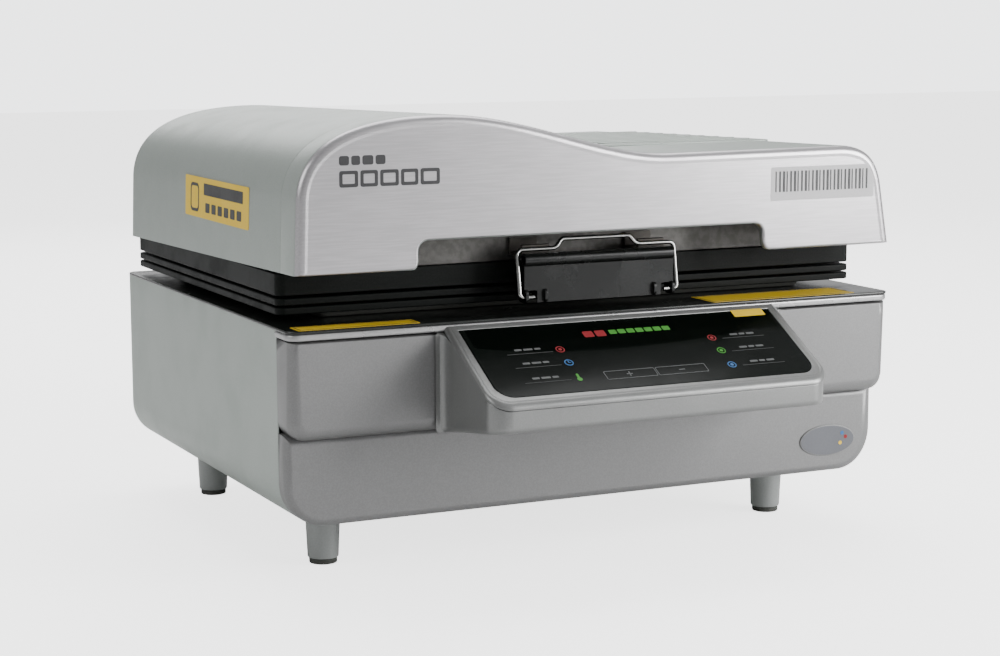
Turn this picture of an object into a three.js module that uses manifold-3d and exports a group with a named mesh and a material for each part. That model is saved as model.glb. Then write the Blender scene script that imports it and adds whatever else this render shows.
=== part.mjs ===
// Free-standing vacuum heat press: a base with a sunk tray and a vacuum pump, a hinged frame that
// holds a silicone sheet, and a hinged lid that holds a hot-air chamber.
// Millimetres. X is the width, Y runs from the front to the back, Z is up.
import * as THREE from "three";
import { mergeVertices } from "three/addons/utils/BufferGeometryUtils.js";
import Module from "manifold-3d";

const wasm = await Module();
wasm.setup();

// ---------------------------------------------------------------- driving dimensions
const lidWidth = 600; // across the lid skin's lower edge
const bodyDepth = 490; // from the lid's front face to the back of the housing
const deckHeight = 229; // top of the black deck above the table
const workWidth = 450; // clear width of the tray
const workDepth = 330; // clear depth of the tray
const touchGap = 0.3; // left between pieces that touch
const runGap = 0.3; // left round a pin or a shaft that turns
const overcut = 5; // how far a cutting tool runs past a face

// Feet
const footHeight = 55;
const padHeight = 5;
const footTopRadius = 16.2;
const footBottomRadius = 14.2;
const padRadius = 12.8;
const footInsetX = 67; // from the housing's side to a foot's centre
const footFrontY = 112;
const footRearInset = 60; // from the housing's back to a rear foot's centre

// Base housing
const baseStep = 3; // the base stands out this far past the lid on each side
const sheet = 2; // folded sheet metal
const moulding = 3; // wall of the mouldings
const cornerRadius = 38; // lower corners of the base, seen from the front
const blockFrontY = 6.5; // front of the overhanging upper block
const blockBottom = 133;
const blockEdge = 10;
const lowerFrontY = 22; // front of the set-back lower face
const lowerEdge = 14;
const fasciaDepthY = 39.4; // back edge of the fascia and of the lid's front moulding
const rearSheetInset = 2; // the rear sheet sits this far inside the wrap's edge

// Deck, tray and seal
const deckSheet = 2.5;
const deckFrontY = 4.5;
const deckOverhang = 1.8;
const panDepth = 36;
const panFlange = 15;
const platenSheet = 3;
const platenSide = 3; // free margin round the platen
const platenLift = 4;
const platenHole = 4;
const platenColumns = 7;
const platenRows = 4;
const sealInset = 14; // from the tray's edge to the seal
const sealWidth = 12;

// Bands between base and lid
const bandInset = 5; // the bands lie this far inside the lid's sides
const bandFrontY = 58;
const bandRearInset = 10;
const bandEdge = 8;
const openingEdge = 2; // corners of the opening in the bands
const frameGap = 7; // deck to membrane frame
const ringThickness = 6.2;
const membraneSheet = 1.2;
const openingMargin = 8; // the frames' openings are this much larger than the tray on each side
const membraneInset = 12;
const lidGap = 2.3; // membrane frame to lid flange
const flangeHeight = 19.5;

// Lid
const lidSkinLift = 4; // lid skin's lower edge above the flange
const platformRoom = 21; // rise of the flat right-hand part beyond the chamber's height
const humpHeight = 39; // the hump's top above the flat part
const humpInset = 133; // hump's crest from the left side
const humpFall = 224; // from the crest to the start of the flat part
const lidRake = 10; // the lid's top and edge fall this far from front to back
const notchLeft = 187;
const notchRight = 158;
const notchHeight = 25;
const notchEdge = 9;

// Hot-air chamber
const casingLeftInset = 18;
const casingRightInset = 28;
const casingFrontY = 62;
const casingRearInset = 14;
const casingHeight = 72;
const casingSheet = 1.5;
const linerHeight = 46;
const linerSheet = 1.5;
const baffleSheet = 1.2;
const baffleLift = 16; // baffle above the chamber's lower edge
const heaterRadius = 4;
const heaterLift = 31;
const heaterOffsets = [-85, 85]; // of each heater's middle from the tray's middle
const heaterSpread = 34; // half the distance between a heater's two legs
const probeLift = 22;
const probeX = 120;
const probeRadius = 3;
const fanShaftRadius = 4;
const shaftRoom = 4; // round the shaft where it leaves the chamber
const impellerRadius = 55;
const impellerHeight = 16;
const impellerRoom = 10; // to the chamber's side wall
const impellerBlades = 10;
const fanMotorRadius = 33;
const fanMotorHeight = 38;

// Console
const consoleHalf = 168;
const consoleX = 6; // middle of the console, a little to the right of the press's own
const consoleFrontY = -95;
const consoleTopFront = 171.3; // height of the sloped panel's front edge
const consoleBottomFront = 146;
const consoleEdge = 20;
const glassSheet = 2.6;
const glassMargin = 11;
const glassBack = 7;
const glassFront = 10;
const glassCorner = 14;

// Hinges
const hingeBehind = 16; // axis behind the housing's back
const hingeX = 220; // middle of each hinge
const hingeLift = 8; // axis above the membrane frame's lower face
const pinRadius = 5;
const knuckleWall = 5; // metal round the pin
const earSheet = 5;
const hingeSpan = 42; // outside width of a hinge bracket
const lidArmSheet = 6;
const frameEarSheet = 7;

// Latch
const latchY = 30;
const latchPivotLift = 7; // lever pivot above the membrane frame's lower face
const leverHalf = 76;
const leverRise = 34;
const gripRadius = 4.5;
const latchPinRadius = 2;
const bailWire = 2;
const bailRise = 42; // bail's bar above the lever pivot
const bailPivotForward = 7; // the bail's ends lie in front of the lever's pivot
const bailPlay = 0.7; // free room round the bail's ends in the lever
const bailBump = 8;
const keeperWidth = 28;
const latchEarSheet = 3;

// Rear panel fittings, all on one line
const fittingsZ = 96;
const inletHalf = [12, 8.5]; // the socket's clear half width and half height
const switchHalf = [9, 12.2];
const inletX = 205;
const fuseX = 158;
const switchX = 118;
const coolerX = -190;
const coolerZ = 128;
const coolerHalf = 40;
const coolerDepth = 22;
const coolerBlades = 7;
const coolerHub = 15; // radius of its hub

// Vacuum pump
const pumpX = -110;
const pumpY = 300;
const pumpMotorRadius = 40;
const pumpMotorLength = 105;
const pumpLift = 54; // motor axis above the floor sheet
const hoseRadius = 6;
const valveX = -30;
const valveY = 190;

// Power board
const boardX = 60;
const boardY = 330;
const boardWidth = 170;
const boardDepth = 110;
const boardLift = 8; // above the floor sheet

// ---------------------------------------------------------------- places worked out from them
const lidHalf = lidWidth / 2;
const baseHalf = lidHalf + baseStep;
const bandHalf = lidHalf - bandInset;
const bandRearY = bodyDepth - bandRearInset;
const workY = (bandFrontY + bandRearY) / 2;
const floorZ = footHeight;
const deckBottom = deckHeight - deckSheet;
const housingTop = deckBottom - touchGap;
const frameBottom = deckHeight + frameGap;
const membraneBottom = frameBottom + ringThickness + touchGap;
const upperRingBottom = membraneBottom + membraneSheet + touchGap;
const frameTop = upperRingBottom + ringThickness;
const flangeBottom = frameTop + lidGap;
const flangeTop = flangeBottom + flangeHeight;
const chamberBottom = flangeTop + touchGap;
const skinBottom = flangeTop + lidSkinLift;
const openHalf = workWidth / 2 + openingMargin;
const openFrontY = workY - workDepth / 2 - openingMargin;
const openRearY = workY + workDepth / 2 + openingMargin;
const casingTop = chamberBottom + casingHeight;
const linerTop = chamberBottom + linerHeight;
const casingRearY = bodyDepth - casingRearInset;
const platformRise = casingHeight + platformRoom; // from the skin's lower edge
const humpRise = platformRise + humpHeight;
const humpX = humpInset - lidHalf;
const fanX = Math.max(humpX, impellerRadius + impellerRoom - openHalf);
const hingeY = bodyDepth + hingeBehind;
const knuckleRadius = pinRadius + knuckleWall;
const hingeZ = frameBottom + hingeLift;
const latchZ = frameBottom + latchPivotLift;
const bailPivotY = latchY - bailPivotForward;
const bailHalf = leverHalf + 4;
const keeperTo = leverHalf - 3;
const keeperFrom = keeperTo - keeperWidth;
const bailBumpHalf = keeperFrom - 7;
const latchEarX = leverHalf - 26; // inner face of each bracket ear
const panBottom = deckHeight - panDepth;
const platenTop = panBottom + sheet + platenLift + platenSheet;
const rearMostY = hingeY + knuckleRadius;
const middleY = (consoleFrontY + rearMostY) / 2;

// ---------------------------------------------------------------- materials
function finish(color, roughness, metalness) {
  return new THREE.MeshStandardMaterial({ color, roughness, metalness });
}
const silverPaint = finish(0xa9adab, 0.42, 0.35);
const frontSilver = finish(0xcbc9cb, 0.38, 0.4);
const deckBlack = finish(0x1c211e, 0.25, 0.0);
const bandBlack = finish(0x23282a, 0.45, 0.1);
const glassBlack = finish(0x0b0e0d, 0.08, 0.0);
const bezelGrey = finish(0x8b8d8c, 0.45, 0.3);
const footGrey = finish(0x7d807d, 0.5, 0.1);
const rubber = finish(0x3d3f3b, 0.85, 0.0);
const silicone = finish(0xb9552f, 0.6, 0.0);
const bareSteel = finish(0x9b9c9c, 0.3, 0.9);
const aluminium = finish(0xb9bbbd, 0.4, 0.85);
const zincSheet = finish(0x85888a, 0.5, 0.8);
const keeperBronze = finish(0x6b5d52, 0.45, 0.6);
const blackPlastic = finish(0x17191a, 0.5, 0.0);
const insulationWool = finish(0xd9d4c5, 0.95, 0.0);
const boardGreen = finish(0x1f5a36, 0.6, 0.0);
const motorBlack = finish(0x2a2c2e, 0.55, 0.4);

// ---------------------------------------------------------------- solids
// A closed geometry as a solid; a lathe whose profile runs downwards is turned right way round.
function solidFrom(geometry) {
  geometry.deleteAttribute("normal");
  geometry.deleteAttribute("uv");
  const merged = mergeVertices(geometry, 1e-4);
  const vertProperties = new Float32Array(merged.attributes.position.array);
  const triVerts = new Uint32Array(merged.index.array);
  const solid = new wasm.Manifold(new wasm.Mesh({ numProp: 3, vertProperties, triVerts }));
  if (solid.volume() > 0) return solid;
  for (let i = 0; i < triVerts.length; i += 3) triVerts.subarray(i, i + 2).reverse();
  return new wasm.Manifold(new wasm.Mesh({ numProp: 3, vertProperties, triVerts }));
}

function geometryFrom(solid) {
  const mesh = solid.getMesh();
  const geometry = new THREE.BufferGeometry();
  const stride = mesh.numProp;
  const positions = new Float32Array(mesh.numVert * 3);
  for (let i = 0; i < mesh.numVert; i += 1) {
    positions.set(mesh.vertProperties.subarray(i * stride, i * stride + 3), i * 3);
  }
  geometry.setAttribute("position", new THREE.BufferAttribute(positions, 3));
  geometry.setIndex(new THREE.BufferAttribute(new Uint32Array(mesh.triVerts), 1));
  geometry.computeVertexNormals();
  return geometry;
}

function join(...solids) {
  return solids.reduce((whole, piece) => whole.add(piece));
}

function cut(solid, ...tools) {
  return tools.reduce((left, tool) => left.subtract(tool), solid);
}

function block(x0, x1, y0, y1, z0, z1) {
  const geometry = new THREE.BoxGeometry(x1 - x0, y1 - y0, z1 - z0);
  geometry.translate((x0 + x1) / 2, (y0 + y1) / 2, (z0 + z1) / 2);
  return solidFrom(geometry);
}

function extruded(shape, depth, curveSegments) {
  return new THREE.ExtrudeGeometry(shape, { depth, bevelEnabled: false, curveSegments });
}

// A shape drawn in X and Y, pulled up from z0 to z1.
function prismUp(shape, z0, z1, curveSegments = 3) {
  return solidFrom(extruded(shape, z1 - z0, curveSegments).translate(0, 0, z0));
}

// A shape drawn in X and Z, pulled back from y0 to y1.
function prismBack(shape, y0, y1, curveSegments = 5) {
  const geometry = extruded(shape, y1 - y0, curveSegments).rotateX(Math.PI / 2);
  return solidFrom(geometry.translate(0, y1, 0));
}

// A shape drawn in Y and Z, pulled across from x0 to x1.
function prismAcross(shape, x0, x1, curveSegments = 8) {
  const turn = new THREE.Matrix4().makeBasis(
    new THREE.Vector3(0, 1, 0),
    new THREE.Vector3(0, 0, 1),
    new THREE.Vector3(1, 0, 0),
  );
  return solidFrom(extruded(shape, x1 - x0, curveSegments).applyMatrix4(turn).translate(x0, 0, 0));
}

// A round bar between two points.
function bar(from, to, radius, sides = 12) {
  const start = new THREE.Vector3(...from);
  const along = new THREE.Vector3(...to).sub(start);
  const geometry = new THREE.CylinderGeometry(radius, radius, along.length(), sides);
  geometry.translate(0, along.length() / 2, 0);
  const up = new THREE.Vector3(0, 1, 0);
  geometry.applyQuaternion(new THREE.Quaternion().setFromUnitVectors(up, along.normalize()));
  return solidFrom(geometry.translate(start.x, start.y, start.z));
}

// A profile of [radius, height] pairs turned about Z.
function turned(profile, sides = 20) {
  const points = profile.map(([r, z]) => new THREE.Vector2(r, z));
  return solidFrom(new THREE.LatheGeometry(points, sides).rotateX(Math.PI / 2));
}

// A round rod along a smooth line through points.
function bentRod(points, radius, sides, steps) {
  const section = new THREE.Shape();
  section.absarc(0, 0, radius, 0, 2 * Math.PI);
  const path = new THREE.CatmullRomCurve3(
    points.map((p) => new THREE.Vector3(...p)),
    false,
    "centripetal",
  );
  const options = { steps, extrudePath: path, curveSegments: sides, bevelEnabled: false };
  return solidFrom(new THREE.ExtrudeGeometry(section, options));
}

function outline(points) {
  return new THREE.Shape(points.map(([u, v]) => new THREE.Vector2(u, v)));
}

function roundedRect(x0, x1, y0, y1, r) {
  const shape = new THREE.Shape();
  shape.absarc(x0 + r, y0 + r, r, Math.PI, 1.5 * Math.PI);
  shape.absarc(x1 - r, y0 + r, r, 1.5 * Math.PI, 2 * Math.PI);
  shape.absarc(x1 - r, y1 - r, r, 0, 0.5 * Math.PI);
  shape.absarc(x0 + r, y1 - r, r, 0.5 * Math.PI, Math.PI);
  shape.closePath();
  return shape;
}

// Seen from above: square at the back, its two front corners rounded.
function frontRounded(half, y0, y1, r) {
  const shape = new THREE.Shape();
  shape.absarc(r - half, y0 + r, r, Math.PI, 1.5 * Math.PI);
  shape.absarc(half - r, y0 + r, r, 1.5 * Math.PI, 2 * Math.PI);
  shape.lineTo(half, y1);
  shape.lineTo(-half, y1);
  shape.closePath();
  return shape;
}

// Seen from the front: open-topped trough with rounded lower corners.
function trough(half, z0, z1, r) {
  const shape = new THREE.Shape();
  shape.absarc(r - half, z0 + r, r, Math.PI, 1.5 * Math.PI);
  shape.absarc(half - r, z0 + r, r, 1.5 * Math.PI, 2 * Math.PI);
  shape.lineTo(half, z1);
  shape.lineTo(-half, z1);
  shape.closePath();
  return shape;
}

// A flat frame round an opening.
function flatRing(outer, inner, z0, z1) {
  return cut(prismUp(outer, z0, z1), prismUp(inner, z0 - overcut, z1 + overcut));
}

function add(group, name, solid, material) {
  const mesh = new THREE.Mesh(geometryFrom(solid), material);
  mesh.name = name;
  group.add(mesh);
  return mesh;
}

// ---------------------------------------------------------------- lid skin
// The lid seen from the front, left lower corner to right lower corner, as a line of points.
function lidLine() {
  const crest = skinBottom + humpRise;
  const flat = skinBottom + platformRise;
  const flatStart = humpX + humpFall;
  const line = new THREE.Path();
  line.moveTo(-lidHalf + 1.5, skinBottom);
  line.lineTo(-lidHalf + 3.5, crest - 73);
  line.bezierCurveTo(-lidHalf + 4, crest - 23, humpX - 83, crest - 0.5, humpX, crest);
  line.bezierCurveTo(humpX + 82, crest, flatStart - 67, flat - 0.5, flatStart, flat - 0.5);
  line.lineTo(lidHalf - 60, flat + 1);
  line.bezierCurveTo(lidHalf - 25, flat + 1, lidHalf - 15, flat - 14, lidHalf - 10, flat - 34);
  line.lineTo(lidHalf, skinBottom);
  return line.getPoints(7);
}

// The same line moved inwards by a wall's thickness, closed across the bottom at a given height.
function lidShape(inset, closeZ) {
  const points = lidLine();
  const moved = points.map((point, i) => {
    const before = points[Math.max(i - 1, 0)];
    const after = points[Math.min(i + 1, points.length - 1)];
    const along = after.clone().sub(before).normalize();
    return [point.x + along.y * inset, point.y - along.x * inset];
  });
  const first = moved[0];
  const last = moved[moved.length - 1];
  const bottom = [
    [last[0], closeZ],
    [first[0], closeZ],
  ];
  return outline(closeZ < skinBottom ? [...moved, ...bottom] : moved);
}

// The lid's top and lower edge fall towards the back.
function raked(solid) {
  const fall = -lidRake / bodyDepth;
  const shear = new THREE.Matrix4().set(1, 0, 0, 0, 0, 1, 0, 0, 0, fall, 1, 0, 0, 0, 0, 1);
  return solidFrom(geometryFrom(solid).applyMatrix4(shear));
}

function lidCover() {
  const outer = prismBack(lidShape(0, skinBottom), fasciaDepthY + touchGap, bodyDepth);
  const inner = prismBack(lidShape(sheet, skinBottom - overcut), 0, bodyDepth + overcut);
  return raked(cut(outer, inner));
}

function lidFrontPanel() {
  const outer = prismBack(lidShape(0, skinBottom), 0, fasciaDepthY);
  const hollow = prismBack(lidShape(moulding, skinBottom - overcut), moulding, bodyDepth);
  const opening = outline([
    [-notchLeft - 4, skinBottom - overcut],
    [-notchLeft, skinBottom + notchEdge],
    [-notchLeft, skinBottom + notchHeight - notchEdge],
    [-notchLeft + notchEdge, skinBottom + notchHeight],
    [notchRight - notchEdge, skinBottom + notchHeight],
    [notchRight, skinBottom + notchHeight - notchEdge],
    [notchRight, skinBottom + notchEdge],
    [notchRight + 7, skinBottom - overcut],
  ]);
  return raked(cut(outer, hollow, prismBack(opening, -overcut, fasciaDepthY + overcut)));
}

// Closes the back of the lid, inside the cover's edge, with louvres for the fan motor's heat.
function lidRearPanel() {
  const y1 = bodyDepth - rearSheetInset;
  const plate = prismBack(lidShape(sheet + touchGap, skinBottom), y1 - sheet, y1);
  const louvres = [];
  for (let i = 0; i < 5; i += 1) {
    const z = skinBottom + 66 + i * 9;
    louvres.push(block(humpX - 45, humpX + 45, y1 - 2 * sheet, y1 + sheet, z, z + 4));
  }
  return raked(cut(plate, ...louvres));
}

// ---------------------------------------------------------------- hot-air chamber
// A box open at the bottom, with walls of one thickness.
function cap(x0, x1, y0, y1, z0, z1, wall) {
  const hollow = block(x0 + wall, x1 - wall, y0 + wall, y1 - wall, z0 - overcut, z1 - wall);
  return cut(block(x0, x1, y0, y1, z0, z1), hollow);
}

const casingLeft = casingLeftInset - lidHalf;
const casingRight = lidHalf - casingRightInset;
const shaftHoleRadius = fanShaftRadius + shaftRoom;

function shaftHole() {
  return bar([fanX, workY, linerTop - 20], [fanX, workY, casingTop + overcut], shaftHoleRadius);
}

// The holes in the right-hand walls that the heaters' ends pass through.
function heaterHoles() {
  return heaterOffsets.flatMap((offset) =>
    [-heaterSpread, heaterSpread].map((side) => {
      const y = workY + offset + side;
      const z = chamberBottom + heaterLift;
      const reach = casingRight - casingSheet - touchGap;
      return bar([openHalf - 20, y, z], [reach + overcut, y, z], heaterRadius + 1);
    }),
  );
}

function probeHole() {
  const z = chamberBottom + probeLift;
  return bar([probeX, openRearY - 20, z], [probeX, casingRearY - 4, z], probeRadius + 1);
}

function chamberCasing() {
  const box = [casingLeft, casingRight, casingFrontY, casingRearY, chamberBottom, casingTop];
  return cut(cap(...box, casingSheet), shaftHole());
}

function chamberLiner() {
  const wall = linerSheet;
  const shell = cap(
    -openHalf - wall,
    openHalf + wall,
    openFrontY - wall,
    openRearY + wall,
    chamberBottom,
    linerTop,
    wall,
  );
  return cut(shell, shaftHole(), probeHole(), ...heaterHoles());
}

function chamberInsulation() {
  const outside = casingSheet + touchGap;
  const inside = linerSheet + touchGap;
  const wool = block(
    casingLeft + outside,
    casingRight - outside,
    casingFrontY + outside,
    casingRearY - outside,
    chamberBottom,
    casingTop - outside,
  );
  const hollow = block(
    -openHalf - inside,
    openHalf + inside,
    openFrontY - inside,
    openRearY + inside,
    chamberBottom - overcut,
    linerTop + touchGap,
  );
  return cut(wool, hollow, shaftHole(), probeHole(), ...heaterHoles());
}

// Black channel under the lid, open at the top.
function chamberFlange() {
  const outer = roundedRect(-bandHalf, bandHalf, bandFrontY, bandRearY, bandEdge);
  const inner = roundedRect(-openHalf, openHalf, openFrontY, openRearY, openingEdge);
  const grooveOuter = roundedRect(
    -bandHalf + sheet,
    bandHalf - sheet,
    bandFrontY + sheet,
    bandRearY - sheet,
    bandEdge - sheet,
  );
  const grooveInner = roundedRect(
    -openHalf - sheet,
    openHalf + sheet,
    openFrontY - sheet,
    openRearY + sheet,
    openingEdge + sheet,
  );
  const groove = flatRing(grooveOuter, grooveInner, flangeBottom + sheet, flangeTop + overcut);
  return cut(flatRing(outer, inner, flangeBottom, flangeTop), groove);
}

// Slotted sheet that keeps the hot air even and the heaters out of reach.
function airBaffle() {
  const gap = touchGap;
  const plan = roundedRect(-openHalf + gap, openHalf - gap, openFrontY + gap, openRearY - gap, 2);
  const z = chamberBottom + baffleLift;
  const columns = 5;
  const rows = 7;
  const border = 20;
  const pitchX = (2 * openHalf - 2 * border) / columns;
  const pitchY = (openRearY - openFrontY - 2 * border) / rows;
  const slots = [];
  for (let i = 0; i < columns; i += 1) {
    for (let j = 0; j < rows; j += 1) {
      const x = border - openHalf + (i + 0.5) * pitchX;
      const y = border + openFrontY + (j + 0.5) * pitchY;
      const reach = pitchX * 0.36;
      slots.push(block(x - reach, x + reach, y - 5, y + 5, z - overcut, z + overcut));
    }
  }
  return cut(prismUp(plan, z, z + baffleSheet, 1), ...slots);
}

// A hairpin heater in a level plane, its two ends leading out to the right.
function heater(offset) {
  const y = workY + offset;
  const z = chamberBottom + heaterLift;
  const endX = casingRight - casingSheet - 12;
  const bendX = fanX + impellerRadius + 50;
  const points = [
    [endX, y - heaterSpread, z],
    [endX - 60, y - heaterSpread, z],
    [(endX + bendX) / 2, y - heaterSpread, z],
    [bendX + 10, y - heaterSpread, z],
  ];
  for (let i = 1; i < 6; i += 1) {
    const turn = (i / 6) * Math.PI;
    const x = bendX - heaterSpread * Math.sin(turn);
    points.push([x, y - heaterSpread * Math.cos(turn), z]);
  }
  points.push([bendX + 10, y + heaterSpread, z]);
  points.push([(endX + bendX) / 2, y + heaterSpread, z]);
  points.push([endX - 60, y + heaterSpread, z]);
  points.push([endX, y + heaterSpread, z]);
  return bentRod(points, heaterRadius, 3, 26);
}

function temperatureProbe() {
  const z = chamberBottom + probeLift;
  const nut = bar([probeX, casingRearY - 14, z], [probeX, casingRearY - 8, z], probeRadius + 0.6, 6);
  return join(bar([probeX, openRearY - 55, z], [probeX, casingRearY - 8, z], probeRadius, 10), nut);
}

// Shaded-pole motor on top of the chamber, under the hump.
function fanMotor() {
  const foot = casingTop + touchGap;
  const top = foot + fanMotorHeight;
  const body = turned([
    [0, foot],
    [fanMotorRadius + 9, foot],
    [fanMotorRadius + 9, foot + 3],
    [fanMotorRadius, foot + 3],
    [fanMotorRadius, top - 8],
    [fanMotorRadius - 10, top],
    [0, top],
  ]);
  const bore = turned([
    [0, foot - overcut],
    [fanShaftRadius + runGap, foot - overcut],
    [fanShaftRadius + runGap, foot + 22],
    [0, foot + 22],
  ]);
  return cut(body, bore);
}

function convectionFan() {
  const disc = linerTop - linerSheet - 6;
  const parts = [
    turned([
      [0, disc - impellerHeight],
      [9, disc - impellerHeight],
      [9, disc],
      [fanShaftRadius, disc],
      [fanShaftRadius, casingTop + 18],
      [0, casingTop + 18],
    ], 16),
    turned([
      [0, disc - 1.5],
      [impellerRadius, disc - 1.5],
      [impellerRadius, disc],
      [0, disc],
    ]),
  ];
  for (let i = 0; i < impellerBlades; i += 1) {
    const blade = new THREE.BoxGeometry(impellerRadius - 20, 1.5, impellerHeight);
    blade.translate(impellerRadius / 2 + 8, 0, disc - 0.5 - impellerHeight / 2);
    parts.push(solidFrom(blade.rotateZ((i / impellerBlades) * 2 * Math.PI)));
  }
  return join(...parts);
}

// ---------------------------------------------------------------- membrane frame
function ringPlate(z) {
  const outer = roundedRect(-bandHalf, bandHalf, bandFrontY, bandRearY, bandEdge);
  const inner = roundedRect(-openHalf, openHalf, openFrontY, openRearY, openingEdge);
  return flatRing(outer, inner, z, z + ringThickness);
}

// Along X, each hinge has a bracket ear, the lid's arm, a spring, the frame's ear and a second ear.
const hingeHalf = hingeSpan / 2;
const earInside = hingeHalf - earSheet;
const lidArmX = [1 - earInside, 1 - earInside + lidArmSheet];
const frameEarX = [earInside - 1 - frameEarSheet, earInside - 1];
const springX = [lidArmX[1] + 2, frameEarX[0] - 3];

function pivotHole(x0, x1, radius) {
  return bar([x0 - overcut, hingeY, hingeZ], [x1 + overcut, hingeY, hingeZ], radius + runGap, 14);
}

// A link that ends in a round knuckle about the hinge axis.
function knuckle(x0, x1, radius, ...arms) {
  const eye = bar([x0, hingeY, hingeZ], [x1, hingeY, hingeZ], radius, 14);
  return cut(join(eye, ...arms), pivotHole(x0, x1, pinRadius));
}

function frameLower() {
  const ears = [-hingeX, hingeX].map((x) => {
    const x0 = x + frameEarX[0];
    const x1 = x + frameEarX[1];
    const arm = block(x0, x1, bandRearY - 1, hingeY, frameBottom, frameBottom + ringThickness);
    return knuckle(x0, x1, knuckleRadius - 2, arm);
  });
  return join(ringPlate(frameBottom), ...ears);
}

function siliconeMembrane() {
  const inset = membraneInset;
  const sheetShape = roundedRect(
    -bandHalf + inset,
    bandHalf - inset,
    bandFrontY + inset,
    bandRearY - inset,
    bandEdge,
  );
  return prismUp(sheetShape, membraneBottom, membraneBottom + membraneSheet);
}

// ---------------------------------------------------------------- hinges
function hingeBracket(x) {
  const x0 = x - hingeHalf;
  const x1 = x + hingeHalf;
  const plateY = bodyDepth + touchGap;
  const parts = [block(x0, x1, plateY, plateY + 3, deckHeight - 62, deckHeight - 8)];
  for (const ear of [x0, x1 - earSheet]) {
    const web = outline([
      [plateY, deckHeight - 40],
      [plateY + 3, deckHeight - 40],
      [hingeY + knuckleRadius * 0.9, hingeZ - 4],
      [hingeY, hingeZ],
      [hingeY - knuckleRadius * 0.9, hingeZ - 4],
      [plateY, deckHeight - 8],
    ]);
    parts.push(knuckle(ear, ear + earSheet, knuckleRadius, prismAcross(web, ear, ear + earSheet)));
  }
  return join(...parts);
}

function hingePin(x) {
  const reach = hingeHalf + touchGap;
  const ends = [-1, 1].map((side) => {
    const from = x + side * reach;
    return bar([from, hingeY, hingeZ], [from + side * 3, hingeY, hingeZ], pinRadius + 2.5, 16);
  });
  const rod = bar([x - reach - 1, hingeY, hingeZ], [x + reach + 1, hingeY, hingeZ], pinRadius, 16);
  return join(rod, ...ends);
}

// Helper spring that carries part of the lid's weight.
function hingeSpring(x) {
  const wire = 1;
  const coil = pinRadius + 2.6;
  const turns = 4;
  const span = springX[1] - springX[0] - 2 * wire;
  const points = [];
  for (let i = 0; i <= turns * 8; i += 1) {
    const angle = (i / 8) * 2 * Math.PI;
    const px = x + springX[0] + wire + (i / (turns * 8)) * span;
    points.push([px, hingeY + coil * Math.sin(angle), hingeZ + coil * Math.cos(angle)]);
  }
  return bentRod(points, wire, 2, turns * 9);
}

function hingeArm(x) {
  const x0 = x + lidArmX[0];
  const x1 = x + lidArmX[1];
  const plateY = bodyDepth - rearSheetInset + touchGap;
  const top = skinBottom + 56;
  const pad = block(x0 - 12, x1 + 12, plateY, plateY + 3, skinBottom + 4, top);
  const web = outline([
    [plateY, top],
    [plateY + 3, top],
    [hingeY + knuckleRadius * 0.9, hingeZ + 4],
    [hingeY, hingeZ],
    [hingeY - knuckleRadius * 0.8, hingeZ + 6],
    [plateY, skinBottom + 4],
  ]);
  return knuckle(x0, x1, knuckleRadius, pad, prismAcross(web, x0, x1));
}

// ---------------------------------------------------------------- latch
function latchHole(x0, x1) {
  const radius = latchPinRadius + runGap;
  return bar([x0, latchY, latchZ], [x1, latchY, latchZ], radius, 12);
}

function latchBracket() {
  const back = bandFrontY - touchGap;
  const z0 = frameBottom + 0.5;
  const outside = latchEarX + latchEarSheet;
  const parts = [block(-outside, outside, back - 2.5, back, z0, frameTop - 0.5)];
  for (const x of [-outside, latchEarX]) {
    const web = block(x, x + latchEarSheet, latchY, back - 1, latchZ - 4, latchZ + 4);
    const eye = bar([x, latchY, latchZ], [x + latchEarSheet, latchY, latchZ], 5, 16);
    parts.push(web, eye);
  }
  return cut(join(...parts), latchHole(-lidHalf, lidHalf));
}

function latchPin() {
  const reach = latchEarX + 15;
  const head = bar([-reach - 2, latchY, latchZ], [-reach, latchY, latchZ], latchPinRadius + 1.2, 12);
  return join(bar([-reach - 1, latchY, latchZ], [reach, latchY, latchZ], latchPinRadius, 12), head);
}

// Pull plate with a rolled grip; its lugs turn on the pin and its side tabs hold the bail.
function latchLever() {
  const front = latchY - 7.5;
  const gripZ = latchZ + leverRise;
  const gripY = front + gripRadius;
  const plate = block(-leverHalf, leverHalf, front, front + 2, latchZ - 5, gripZ);
  const grip = bar([-leverHalf, gripY, gripZ], [leverHalf, gripY, gripZ], gripRadius, 14);
  const parts = [plate, grip];
  const lugs = [
    [latchEarX + latchEarSheet + 1, latchEarX + latchEarSheet + 4],
    [leverHalf - 3, leverHalf],
  ];
  for (const [from, to] of lugs) {
    for (const side of [-1, 1]) {
      const x0 = Math.min(side * from, side * to);
      const x1 = Math.max(side * from, side * to);
      parts.push(block(x0, x1, bailPivotY - 4.4, latchY + 4, latchZ - 5, latchZ + 7));
    }
  }
  const bailHoles = [-1, 1].map((side) => {
    const from = [side * (leverHalf - 6), bailPivotY, latchZ];
    return bar(from, [side * lidHalf, bailPivotY, latchZ], bailWire + bailPlay, 12);
  });
  return cut(join(...parts), latchHole(-latchEarX - 20, latchEarX + 20), ...bailHoles);
}

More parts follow.
